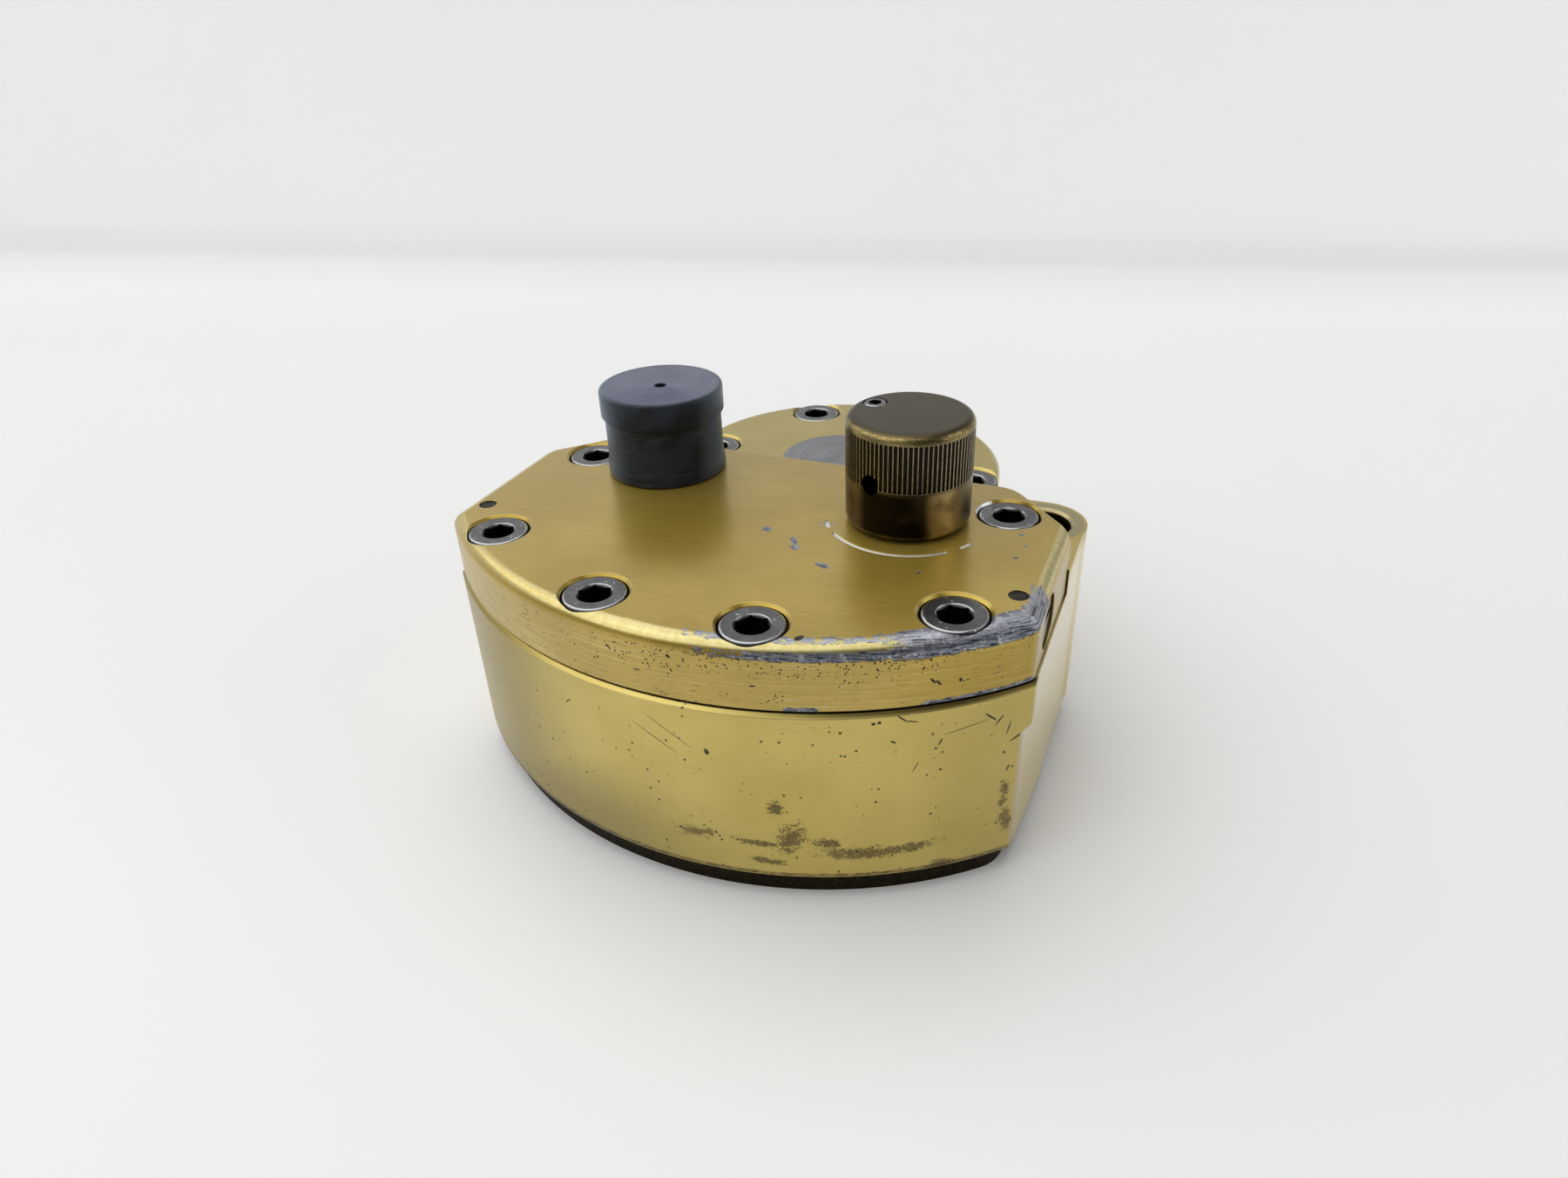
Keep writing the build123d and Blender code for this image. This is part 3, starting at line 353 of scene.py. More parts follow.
def body_specks(finish, at):
    """Dark specks, most of them on the front, and short nicks on the front's right."""
    patches = finish.noise(at.place, 0.21).rise(0.45, 0.6)
    specks = (finish.cells(at.place, 0.75) + (at.fine - 0.5) * 0.25).rise(0.17, 0.09) * patches
    nicks = finish.streaks(at.angle, at.z, 0.9, 0.13, 62, 8.0).rise(0.70, 0.75)
    nicks = nicks.most(finish.streaks(at.angle, at.z, 0.8, 0.12, -38, 9.0).rise(0.71, 0.76))
    return (specks * (0.25 + at.front * 0.75)).most(nicks * at.angle.rise(-6.0, 14.0) * at.front)


def ear_cups(finish, at, colour):
    """Bare rims round the ears' cups, with painted shade darkening the cups below the deck."""
    ear = (abs(at.x) - ear_x).length_with(at.y - ear_y)
    rim = ear.rise(6.6, 5.9) * at.z.rise(deck_z - 6.0, deck_z - 5.0)
    colour = finish.mix(rim * (0.65 + at.cloud * 0.4), colour, EAR_GREY)
    # Painted shade inside the cups, deeper down
    return finish.mix(rim * at.z.rise(deck_z - 0.5, deck_z - 1.6), colour, GRIME_AND_SHADE)


def gold_body(name, painted_shade):
    """Satin gold anodising on the housing, with smudges, cuts and specks on its round front."""
    finish = Finish(name, metallic=1.0, **GOLD_COAT)
    at = gold_place(finish)
    at.front = at.reach.rise(FRONT_RADIUS - 1.5, FRONT_RADIUS - 0.8)
    at.left_end = at.angle.rise(-8.0, -30.0) * at.front
    at.side = abs(at.x).rise(body_high.x - 1.9, body_high.x - 1.3) * (1 - at.front)
    at.side = at.side * at.z.rise(deck_z - 0.6, deck_z - 3.0)
    at.cloud = finish.noise(at.place, 0.07, 4.0)
    at.fine = finish.noise(at.place, 6.0, 3.0, 0.6)
    grain = finish.noise(at.place, 2.4, 4.0, 0.6)
    dust = finish.noise(at.place, 3.6, 3.0, 0.7)
    turning = finish.streaks(at.angle, at.z, 11.0, 0.3)
    smear = finish.streaks(at.angle, at.z, 1.4, 0.6, 12, 6.0)
    rounded, edge = finish.soft_edge(0.25)
    colour = finish.mix(at.cloud.rise(0.3, 0.7), GOLD_BODY_DEEP, GOLD_BODY)
    # Painted shade: darkens the whole copy of the gold, for the bearing cap
    colour = finish.mix(painted_shade, colour, GOLD_SHADE)
    colour = finish.mix(turning.rise(0.5, 0.8) * 0.16, colour, GOLD_DULL_AND_SHADE)
    smudge = finish.marks(at.angle, at.z, (smear - 0.5) * 2.6, BODY_SMUDGES, 2.3, 0.2) * at.front
    smudge = (smudge * 1.2 + (dust - 0.5) * 2.6).rise(0.58, 1.1)
    colour = finish.mix(smudge * 0.78, colour, STAIN_AND_SHADE)
    colour = body_shades(finish, at, smear, colour)
    # Painted shade: dark line of the seam on the right, under the plate's edge
    seam = at.z.rise(seat_z - 0.55, seat_z - 0.2) * at.angle.rise(4.0, 26.0) * at.front
    cuts = finish.marks(at.angle, at.z, (at.fine - 0.5) * 0.9, BODY_CUTS) * at.front
    hairs = finish.streaks(at.angle, at.z, 5.0, 0.14, -32, 4.0).rise(0.67, 0.73)
    specks = body_specks(finish, at)
    colour = finish.mix(hairs * at.cloud.rise(0.44, 0.54) * 0.4, colour, GOLD_DULL_AND_SHADE)
    # Painted highlight: paler gold along sharp edges
    colour = finish.mix(edge * 0.5, colour, GOLD_PALE_AND_HIGHLIGHT)
    # Dark specks and cuts, and the painted shade along the seam
    colour = finish.mix(specks.most(cuts).most(seam * 0.85) * 0.9, colour, GRIME_AND_SHADE)
    colour = ear_cups(finish, at, colour)
    dirt = smudge.most(cuts)
    coat = COAT + at.side * at.z.rise(8.0, 26.0) * (1 - COAT)
    normal = finish.bump(grain, 0.012, 0.12, rounded)
    normal = finish.bump(turning, 0.01, 0.15, normal)
    finish.feed(
        base_color=colour,
        roughness=0.27 + grain * 0.1 + dirt * 0.3,
        metallic=1 - dirt * 0.6,
        coat_weight=coat * (1 - dirt.most(seam).most(at.left_end)),
        normal=finish.bump(1 - cuts.most(specks), 0.1, 0.5, normal),
    )
    return finish.material


def brushed_gold(finish, at):
    """The plate's gold where it isn't worn: brushed on the front and the top, with painted highlight as paler gold
    on the rounding and the front's left, and painted shade on the front's right and towards the top's back.
    """
    cloud = finish.noise(at.place, 0.06, 4.0)
    colour = finish.mix(cloud.rise(0.3, 0.7), GOLD_PLATE_DEEP, GOLD_PLATE)
    # Darker brush streaks, and painted shade on the right of the front
    dull_streaks_and_shade = at.brush.rise(0.5, 0.75) * 0.45 + at.angle.rise(30.0, 44.0) * 0.25
    colour = finish.mix(at.front * dull_streaks_and_shade, colour, GOLD_DULL_AND_SHADE)
    # Paler brush streaks, and a painted highlight on the left and middle of the front
    pale = at.angle.rise(38.0, 24.0) * 0.14 + at.brush.rise(0.46, 0.3) * 0.25
    colour = finish.mix(at.front * pale, colour, GOLD_PALE_AND_HIGHLIGHT)
    # Painted shade: the flat top darker towards the back
    colour = finish.mix(at.y.rise(-34.0, 4.0) * at.flat_top * 0.5, colour, GOLD_DULL_AND_SHADE)
    # Painted highlight: paler gold on the rounding, patchy with the brushing
    painted_highlight = at.slide.band(0.5, 2.3, 0.5) * (0.45 + at.angle.rise(-26.0, 2.0) * 0.4)
    painted_highlight = painted_highlight * (0.5 + at.brush.rise(0.62, 0.38) * 0.35 + at.lumps.rise(0.38, 0.6) * 0.35)
    colour = finish.mix(painted_highlight, colour, GOLD_EDGE_HIGHLIGHT)
    sanded = finish.streaks(at.x, at.y, 16.0, 0.22, 10, 13.0)
    colour = finish.mix(sanded.rise(0.5, 0.75) * at.flat_top * 0.22, colour, GOLD_DULL_AND_SHADE)
    colour = finish.mix(sanded.rise(0.46, 0.28) * at.flat_top * 0.14, colour, GOLD_PALE_AND_HIGHLIGHT)
    scratches = finish.streaks(at.x, at.y, 4.0, 0.2, 35, 1.0).rise(0.67, 0.76)
    scratches = scratches.most(finish.streaks(at.x, at.y, 3.0, 0.18, -50, 5.0).rise(0.68, 0.77))
    return finish.mix(scratches * at.flat_top * 0.25, colour, GOLD_PALE_AND_HIGHLIGHT)


def worn_level(at, chip):
    """Wear on the rounding: a pale line above, a dark line below, and all of it bare further right."""
    upper = at.slide.band(-0.1, 0.9, 0.7) * at.angle.rise(-4.0, 8.0) * 0.52
    lower = at.angle.rise(-4.0, 8.0) * 0.4 + at.angle.rise(6.0, 18.0) * 0.35
    lower = at.slide.band(2.8, 3.7, 0.6) * lower
    narrow = at.angle.rise(44.0, 52.0)
    whole = at.slide.band(narrow * 1.1 - 0.3, 3.9 - narrow * 1.2, 0.9)
    whole = whole * at.angle.rise(24.0, 33.0) * 0.82
    amount = upper.most(lower).most(whole) * at.angle.rise(53.5, 50.5)
    return amount + (chip - 0.5) * 1.1 + (at.lumps - 0.5) * 1.0 + (at.fine - 0.5) * 0.4


def worn_spots(finish, at, chip):
    """Chips on the plate's top, and wear along the lower edge of its front."""
    seam_wear = at.z.rise(seat_z + 1.5, seat_z + 0.7) * at.inset.rise(1.0, 0.7)
    stretches = at.angle.band(33.0, 47.0, 2.5) * 0.6 + at.angle.band(16.6, 19.6, 1.2) * 0.75
    seam_wear = (seam_wear * stretches + (chip - 0.5) * 1.0).rise(0.42, 0.5)
    chips = finish.marks(at.x, at.y, at.ragged, PLATE_CHIPS) * at.drop.rise(0.5, 0.1)
    return chips.most(seam_wear)


def scuffed_metal(finish, at, chip):
    """Bare aluminium, with dark scuffs along the edge and pale patches."""
    scuff = finish.streaks(at.angle, at.slide, 2.2, 0.3, 6, 7.0)
    shade = at.slide.rise(0.9, 3.2) * 0.55 + at.slide.rise(0.3, -0.5) * 0.5 + (scuff - 0.5) * 2.4
    metal = finish.mix(shade + (chip - 0.5) * 1.4 + 0.12, BARE_LIGHT, BARE_DARK)
    metal = finish.mix(at.lumps.rise(0.46, 0.36) * 0.8, metal, BARE_PALE)
    metal = finish.mix(scuff.rise(0.53, 0.62) * at.slide.rise(0.2, 1.2) * 0.85, metal, BARE_DEEP)
    return finish.mix(at.fine.rise(0.52, 0.64) * 0.5, metal, BARE_DEEP)


def band_dots(finish, at):
    """Dark specks on the plate's front band, thickest under the worn line."""
    under = at.slide.rise(8.0, 4.2) * at.slide.rise(2.6, 3.4) * at.angle.band(-4.0, 32.0, 7.0)
    thick = finish.noise(at.place, 0.33).rise(0.5, 0.62) * 0.6 + under
    dots = finish.cells(finish.vector(at.angle, at.slide, 0.0), 1.9).rise(0.30, 0.16) * at.front
    return (dots * thick * 1.35 + (at.grain - 0.5) * 0.7).rise(0.46, 0.66)


def sweep_holes(at):
    """The shaded holes of the sweep adjusters, in the plate's sides."""
    hole = (at.y - sweep_y).length_with(at.z - sweep_z).rise(SWEEP_MOUTH + 0.1, SWEEP_MOUTH - 0.05)
    return hole * abs(at.x).rise(plate_half - 0.05, plate_half - 0.35) * at.inset.rise(6.0, 5.0)


def gold_plate():
    """Browner gold on the valve plate, brushed on its front and worn bare on the right of its edge."""
    finish = Finish("gold_plate", metallic=1.0, **GOLD_COAT)
    at = gold_place(finish)
    at.drop = top_z - at.z
    at.inset = (plate_radius - at.reach).least(plate_half - abs(at.x))
    # How far round the edge: 0 where the rounding leaves the flat top, twice its radius where it ends
    at.slide = PLATE_ROUND - at.inset + at.drop
    at.front = at.drop.rise(0.9, 2.2) * at.inset.rise(1.2, 0.8)
    at.flat_top = at.drop.rise(0.3, 0.05)
    at.lumps = finish.noise(at.place, 1.1, 4.0, 0.65)
    at.grain = finish.noise(at.place, 2.4, 5.0, 0.6)
    at.fine = finish.noise(at.place, 6.5, 3.0, 0.6)
    at.brush = finish.streaks(at.angle, at.slide, 12.0, 0.3)
    at.ragged = (at.grain - 0.5) * 1.8
    left_end = at.angle.rise(-15.0, -38.0) * at.drop.rise(0.3, 1.0)
    rounded, edge = finish.soft_edge(0.2)
    chip = finish.streaks(at.angle, at.slide, 1.3, 0.55, 0, 2.0)
    level = worn_level(at, chip)
    bare = level.rise(0.42, 0.54).most(worn_spots(finish, at, chip))
    colour = finish.mix(bare, brushed_gold(finish, at), scuffed_metal(finish, at, chip))
    # Dirt: specks, dashes, dents and the rim of the worn place; painted shade in the sweep adjusters' holes and on
    # the seam under the plate
    dashes = finish.streaks(at.angle, at.slide, 2.4, 0.17, 2, 11.0).rise(0.63, 0.70) * at.front
    cuts = finish.marks(at.angle, at.z, (at.fine - 0.5) * 0.9, BAND_CUTS) * at.inset.rise(1.5, 1.0)
    nick = finish.marks(at.x, at.y, at.ragged * 0.2, PLATE_NICKS) * at.drop.rise(1.0, 0.6)
    rim = level.rise(0.30, 0.42) * (1 - bare) * at.slide.rise(2.2, 3.4)
    seam = at.z.rise(seat_z + 0.6, seat_z + 0.3) * at.angle.rise(-22.0, 4.0) * at.inset.rise(1.0, 0.7)
    dark = band_dots(finish, at).most(sweep_holes(at) * 0.95).most(cuts).most(nick)
    dark = dark.most(rim * 0.7).most(dashes * 0.65).most(seam * 0.95)
    colour = finish.mix(dark, colour, GRIME_AND_SHADE)
    # Engraved scale in front of the knob
    from_knob = (at.x - knob_x).length_with(at.y - knob_y)
    scale = at.drop.rise(0.04, 0.12) * from_knob.band(9.9, 13.0, 0.2)
    colour = finish.mix(scale, colour, BARE_CUT)
    # Painted highlight: paler gold along sharp edges, off the worn places and the seam
    colour = finish.mix(edge * 0.5 * (1 - bare) * (1 - seam), colour, GOLD_PALE_AND_HIGHLIGHT)
    worn = bare.most(dark)
    normal = finish.bump(at.grain, 0.008, 0.05, rounded)
    normal = finish.bump(at.brush * at.front, 0.02, 0.25, normal)
    finish.feed(
        base_color=colour,
        roughness=0.25 + at.grain * 0.08 + at.front * at.brush * 0.12 + bare * 0.14 + dark * 0.2,
        metallic=(1 - dark * 0.5) * (1 - at.flat_top * (1 - bare) * 0.45),
        coat_weight=COAT * (1 - worn) * (1 - left_end * 0.6),
        normal=finish.bump(1 - worn * (0.5 + at.fine), 0.07, 0.5, normal),
    )
    return finish.material


SCREW_DARK = (0.13, 0.13, 0.135)
SCREW_LIGHT = (0.19, 0.19, 0.195)
SCREW_RIM_HIGHLIGHT = (0.60, 0.60, 0.60)
SCREW_NICK = (0.70, 0.70, 0.70)
SCREW_SIDE_SHADE = (0.085, 0.085, 0.088)
SCREW_SOCKET_SHADE = (0.020, 0.019, 0.017)
# Heads' flat tops lie within HEAD_LEVEL of their node's top, and HEAD_SPREAD is wider than one head
HEAD_LEVEL = 0.1
HEAD_SPREAD = 9.0


def head_centres(name, head_z):
    """Middles of a node's screw heads, from the points on their flat tops."""
    groups = []
    for vertex in nodes[name].data.vertices:
        point = vertex.co / MM
        if head_z - point.z > HEAD_LEVEL:
            continue
        group = next((g for g in groups if (g[0] - point).length < HEAD_SPREAD), None)
        if group is None:
            groups.append([point])
        else:
            group.append(point)
    return [sum(group, Vector()).xy / len(group) for group in groups]


def socket_steel(name, node, socket_radius):
    """Plated socket screws: satin heads with nicks, a painted highlight round the top's edge, and painted shade in
    the sockets and on the sides below the head.
    """
    finish = Finish(name, metallic=1.0)
    place = finish.place()
    x, y, z = finish.split(place)
    head_z = node_box(node)[1].z
    spread = None
    for at_x, at_y in head_centres(node, head_z):
        apart = (x - at_x).length_with(y - at_y)
        spread = apart if spread is None else spread.least(apart)
    cloud = finish.noise(place, 0.5, 4.0)
    grain = finish.noise(place, 5.0, 3.0)
    nicks = finish.cells(place, 1.2).rise(0.2, 0.1) * cloud.rise(0.45, 0.55)
    depth = head_z - z
    colour = finish.mix(cloud.rise(0.3, 0.7), SCREW_DARK, SCREW_LIGHT)
    # Painted highlight: a bright ring at the edge of the flat top
    rim = depth.band(0.03, 0.08, 0.03)
    colour = finish.mix(rim * (0.4 + grain * 0.6), colour, SCREW_RIM_HIGHLIGHT)
    colour = finish.mix(nicks * 0.8, colour, SCREW_NICK)
    # Painted shade on the head's side below its top, and darker still inside the socket
    deep = depth.rise(0.12, 0.36)
    colour = finish.mix(deep, colour, SCREW_SIDE_SHADE)
    inside = spread.rise(socket_radius + 0.3, socket_radius) * deep
    colour = finish.mix(inside, colour, SCREW_SOCKET_SHADE)
    finish.feed(
        base_color=colour,
        roughness=0.22 + grain * 0.12 + deep * 0.2,
        normal=finish.bump(1 - nicks, 0.08, 0.4, finish.bump(grain, 0.004, 0.15)),
    )
    return finish.material


KNOB_DARK = (0.070, 0.054, 0.024)
KNOB_LIGHT = (0.150, 0.120, 0.055)
KNOB_TOP_DARK = (0.066, 0.056, 0.032)
KNOB_TOP_LIGHT = (0.088, 0.074, 0.043)
KNOB_RIM = (0.50, 0.385, 0.15)
KNOB_GROOVE = (0.020, 0.016, 0.010)
KNOB_CREST_HIGHLIGHT = (0.44, 0.385, 0.26)
KNOB_BAND = (0.016, 0.012, 0.005)
KNOB_DARK_REFLECTION = (0.008, 0.006, 0.003)
KNOB_SIDE_REFLECTION = (0.48, 0.36, 0.17)
KNOB_FOOT_REFLECTION = (0.36, 0.27, 0.11)


def knob_bronze():
    """Dark bronze knob: gold worn through on the rim, dark flute grooves with painted highlights on the crests,
    and a darker lower band with painted reflections.
    """
    finish = Finish("knob_bronze", metallic=1.0)
    place = finish.place()
    x, y, z = finish.split(place)
    across, along = x - knob_x, y - knob_y
    spread = across.length_with(along)
    azimuth = along.math("ARCTAN2", across) * DEGREES_IN_RADIAN
    height = knob_high.z - z
    cloud = finish.noise(place, 0.22, 4.0)
    grain = finish.noise(place, 3.0, 4.0, 0.6)
    rings = finish.noise(finish.vector(spread * 5.0, 0.0, 0.0), 1.0, 3.0)
    patchy = (cloud * 0.6 + grain * 0.7).rise(0.56, 0.76)
    on_top = height.rise(0.3, 0.05)
    colour = finish.mix(cloud.rise(0.35, 0.65), KNOB_DARK, KNOB_LIGHT)
    satin = finish.mix(rings.rise(0.3, 0.7), KNOB_TOP_DARK, KNOB_TOP_LIGHT)
    colour = finish.mix(on_top, colour, satin)
    rim = height.band(0.4, 1.2, 0.15) * spread.rise(knob_radius - 1.3, knob_radius - 0.9)
    colour = finish.mix(rim * (0.15 + patchy * 0.5), colour, KNOB_RIM)
    # Flutes: dark grooves, and a painted highlight on the crests
    fluted = height.band(1.3, 7.9, 0.1)
    crest = spread.rise(knob_radius - 0.13, knob_radius - 0.02) * fluted
    colour = finish.mix(fluted * (1 - crest), colour, KNOB_GROOVE)
    colour = finish.mix(crest * (0.35 + grain.rise(0.35, 0.75) * 0.6), colour, KNOB_CREST_HIGHLIGHT)
    # Plain band below them: darker, with a painted dark reflection on its front and painted highlights on both
    # sides
    lower = height.rise(7.8, 8.6)
    black = finish.noise(place, 0.16, 3.0).rise(0.74, 0.50) * azimuth.rise(-34.0, -52.0)
    colour = finish.mix(lower * 0.45, colour, KNOB_BAND)
    colour = finish.mix(lower * black * 0.92, colour, KNOB_DARK_REFLECTION)
    painted_highlight = lower * (azimuth.band(-50.0, 10.0, 12.0) + azimuth.band(-170.0, -128.0, 14.0) * 0.6)
    colour = finish.mix(painted_highlight * (0.3 + cloud.rise(0.4, 0.6) * 0.5), colour, KNOB_SIDE_REFLECTION)
    # Painted reflection of the plate's gold on the rounded foot
    colour = finish.mix(height.rise(14.0, 14.6) * patchy * 0.3, colour, KNOB_FOOT_REFLECTION)
    finish.feed(
        base_color=colour,
        roughness=0.26 + grain * 0.16,
        normal=finish.bump(grain, 0.015, 0.2, finish.bump(rings * on_top, 0.01, 0.2)),
    )
    return finish.material


STEEL_DARK = (0.205, 0.208, 0.214)
STEEL_LIGHT = (0.29, 0.294, 0.303)
STEEL_EDGE = (0.60, 0.60, 0.61)


def turned_steel():
    """Shaft and valve steel with turning rings round the shaft's axis."""
    finish = Finish("turned_steel", metallic=1.0, anisotropic=0.75)
    place = finish.place()
    x, y, z = finish.split(place)
    spread = x.length_with(y)
    rings = finish.noise(finish.vector(spread * 3.5, z * 0.05, 0.0), 1.0, 4.0, 0.6)
    grain = finish.noise(place, 2.0, 3.0)
    rounded, edge = finish.soft_edge(0.15)
    colour = finish.mix(rings.rise(0.3, 0.7), STEEL_DARK, STEEL_LIGHT)
    finish.feed(
        base_color=finish.mix(edge * 0.6, colour, STEEL_EDGE),
        roughness=0.28 + rings * 0.14,
        normal=finish.bump(rings, 0.01, 0.25, finish.bump(grain, 0.005, 0.2, rounded)),
    )
    return finish.material


def plain_metal(name, colour, deep, roughness):
    """Machined metal with a fine grain and softly broken edges."""
    finish = Finish(name, metallic=1.0)
    place = finish.place()
    grain = finish.noise(place, 1.6, 4.0)
    rounded, edge = finish.soft_edge(0.15)
    worn = tuple(min(1.0, 1.5 * part) for part in colour)
    ground = finish.mix(grain.rise(0.35, 0.65), deep, colour)
    finish.feed(
        base_color=finish.mix(edge * 0.6, ground, worn),
        roughness=roughness + grain * 0.12,
        normal=finish.bump(grain, 0.01, 0.25, rounded),
    )
    return finish.material


RUBBER_DARK = (0.005, 0.008, 0.013)
RUBBER_LIGHT = (0.018, 0.027, 0.043)
RUBBER_SMEAR = (0.007, 0.008, 0.009)
RUBBER_BLOOM = (0.046, 0.060, 0.084)
RUBBER_SHADE = (0.006, 0.006, 0.007)
RUBBER_SHEEN = (0.100, 0.142, 0.205)
DUST_SHEEN_DARK = (0.100, 0.112, 0.166)
DUST_SHEEN_LIGHT = (0.126, 0.140, 0.200)


def slate_rubber():
    """Slate grey rubber: dust and painted sheen on the flat top, dark on the sides with painted sheen on the left
    and right, and smears.
    """
    finish = Finish("slate_rubber", coat_roughness=0.3, specular_ior_level=0.3)
    place = finish.place()
    x, y, z = finish.split(place)
    spread = (x - rubber_x).length_with(y - rubber_y)
    bearing = (y - rubber_y).math("ARCTAN2", x - rubber_x) * DEGREES_IN_RADIAN
    height = rubber_high.z - z
    cloud = finish.noise(place, 0.25, 4.0)
    grain = finish.noise(place, 4.0, 4.0, 0.6)
    smears = finish.streaks(x - y, z, 3.0, 0.8, 12, 3.0)
    colour = finish.mix(cloud.rise(0.35, 0.65), RUBBER_DARK, RUBBER_LIGHT)
    colour = finish.mix(smears.rise(0.56, 0.68) * 0.7, colour, RUBBER_SMEAR)
    colour = finish.mix(smears.rise(0.42, 0.32) * 0.5, colour, RUBBER_BLOOM)
    # Shadow line under the collar
    colour = finish.mix(height.band(3.8, 4.4, 0.15) * 0.9, colour, RUBBER_SHADE)
    # Painted sheen: lighter, bluer sides on the left and the right
    sheen_left = bearing.rise(-95.0, -150.0)
    sheen_right = bearing.rise(-35.0, 5.0)
    colour = finish.mix((sheen_left * 0.9).most(sheen_right * 0.38), colour, RUBBER_SHEEN)
    # Dust on the flat top, paler still as a painted sheen
    dust_and_sheen = height.rise(0.35, 0.12) * spread.rise(rubber_radius - 0.3, rubber_radius - 1.0)
    dust = finish.mix(cloud.rise(0.3, 0.7), DUST_SHEEN_DARK, DUST_SHEEN_LIGHT)
    colour = finish.mix(dust_and_sheen * (0.85 + grain * 0.2), colour, dust)
    # Painted shade in the vent hole
    colour = finish.mix(spread.rise(VENT_RADIUS + 0.2, VENT_RADIUS - 0.05), colour, RUBBER_SHADE)
    finish.feed(
        base_color=colour,
        roughness=0.46 + grain * 0.16 + dust_and_sheen * 0.2,
        coat_weight=0.05 + sheen_left.most(sheen_right) * 0.45,
        normal=finish.bump(grain + cloud, 0.03, 0.3),
    )
    return finish.material


NITRILE_DARK = (0.012, 0.012, 0.012)
NITRILE_LIGHT = (0.03, 0.03, 0.03)


def black_nitrile():
    """Dull black rubber of the seals."""
    finish = Finish("black_nitrile")
    grain = finish.noise(finish.place(), 3.0, 3.0)
    finish.feed(
        base_color=finish.mix(grain, NITRILE_DARK, NITRILE_LIGHT),
        roughness=0.5 + grain * 0.15,
        normal=finish.bump(grain, 0.02, 0.3),
    )
    return finish.material


def dress(material, *names):
    """Give nodes a material in place of their own."""
    for name in names:
        mesh = nodes[name].data
        mesh.materials.clear()
        mesh.materials.append(material)


steel = turned_steel()
wire = plain_metal("spring_wire", (0.45, 0.45, 0.47), (0.36, 0.36, 0.38), 0.3)
black_oxide = plain_metal("black_oxide", (0.05, 0.05, 0.055), (0.03, 0.03, 0.033), 0.35)
bronze = plain_metal("bush_bronze", (0.55, 0.38, 0.18), (0.42, 0.28, 0.12), 0.35)
brass = plain_metal("valve_brass", (0.62, 0.50, 0.26), (0.5, 0.38, 0.18), 0.3)
alloy = plain_metal("rotor_alloy", (0.62, 0.62, 0.63), (0.5, 0.5, 0.51), 0.35)
dark_cover = plain_metal("dark_cover", (0.030, 0.022, 0.010), (0.014, 0.010, 0.005), 0.45)
dark_plug = plain_metal("dark_plug", (0.060, 0.055, 0.045), (0.028, 0.025, 0.020), 0.4)
nitrile = black_nitrile()
rubber = slate_rubber()

dress(gold_body("gold_body", 0.0), "body")
# The bearing cap's copy of the gold is darkened by painted shade
dress(gold_body("gold_cap", 0.4), "bearing_cap")
dress(gold_plate(), "valve_plate")
dress(knob_bronze(), "adjuster_knob")
dress(dark_cover, "bottom_cover")
dress(dark_plug, "passage_plugs")
dress(black_oxide, "bottom_cover_screws", "knob_grub_screw")
dress(bronze, "upper_bush", "lower_bush", "thrust_washer")
dress(steel, "main_shaft", "shaft_key", "retaining_ring", "valve_spindle", "valve_needle")
dress(steel, "relief_poppet", "detent_ball", "left_sweep_adjuster", "right_sweep_adjuster")
dress(wire, "detent_spring", "relief_spring")
dress(alloy, "vane_rotor")
dress(brass, "valve_gland", "relief_body", "relief_adjuster")
dress(nitrile, "cover_seal", "plate_seal", "upper_shaft_seal", "lower_shaft_seal", "vane_tip_seal")
dress(nitrile, "spindle_o_ring", "left_sweep_o_ring", "right_sweep_o_ring")
dress(rubber, "dust_cap")

SOCKET_SCREWS = [
    ("plate_screw_steel", "valve_plate_screws", SOCKET_RADIUS),
    ("cap_screw_steel", "bearing_cap_screws", SOCKET_RADIUS),
    ("detent_screw_steel", "detent_screw", DETENT_SOCKET_RADIUS),
]
for finish_name, screws, radius in SOCKET_SCREWS:
    dress(socket_steel(finish_name, screws, radius), screws)


def finish_mesh(name, shape, material):
    """Turn a bmesh into a smooth-shaded object with one material."""
    bmesh.ops.recalc_face_normals(shape, faces=shape.faces[:])
    for face in shape.faces:
        face.smooth = True
    mesh = bpy.data.meshes.new(name)
    shape.to_mesh(mesh)
    shape.free()
    mesh.materials.append(material)
    made = bpy.data.objects.new(name, mesh)
    bpy.context.scene.collection.objects.link(made)
    return made


# Rubber cap: a turned section with soft corners, (radius, height above its foot, corner radius)
CAP_HEIGHT = rubber_high.z - rubber_low.z
CAP_BORE = relief_radius + 0.05
CAP_ROOF = CAP_HEIGHT - 2.5
COLLAR_FOOT = CAP_HEIGHT - 3.9
CAP_SECTION = [
    (VENT_RADIUS, CAP_HEIGHT - 0.12, 0.15),
    (rubber_radius - 1.2, CAP_HEIGHT - 0.03, 2.0),
    (rubber_radius, CAP_HEIGHT, 0.55),
    (rubber_radius, COLLAR_FOOT, 0.1),
    (rubber_radius - 0.5, COLLAR_FOOT, 0.1),
    (rubber_radius - 0.45, 2.4, 1.5),
    (rubber_radius - 0.22, 1.3, 0.8),
    (rubber_radius - 0.25, 0.0, 0.4),
    (CAP_BORE, 0.0, 0.3),
    (CAP_BORE, CAP_ROOF, 0.6),
    (VENT_RADIUS, CAP_ROOF, 0.2),
]
CORNER_SHARE = 0.45
CORNER_STEPS = 5
CAP_STEPS = 144


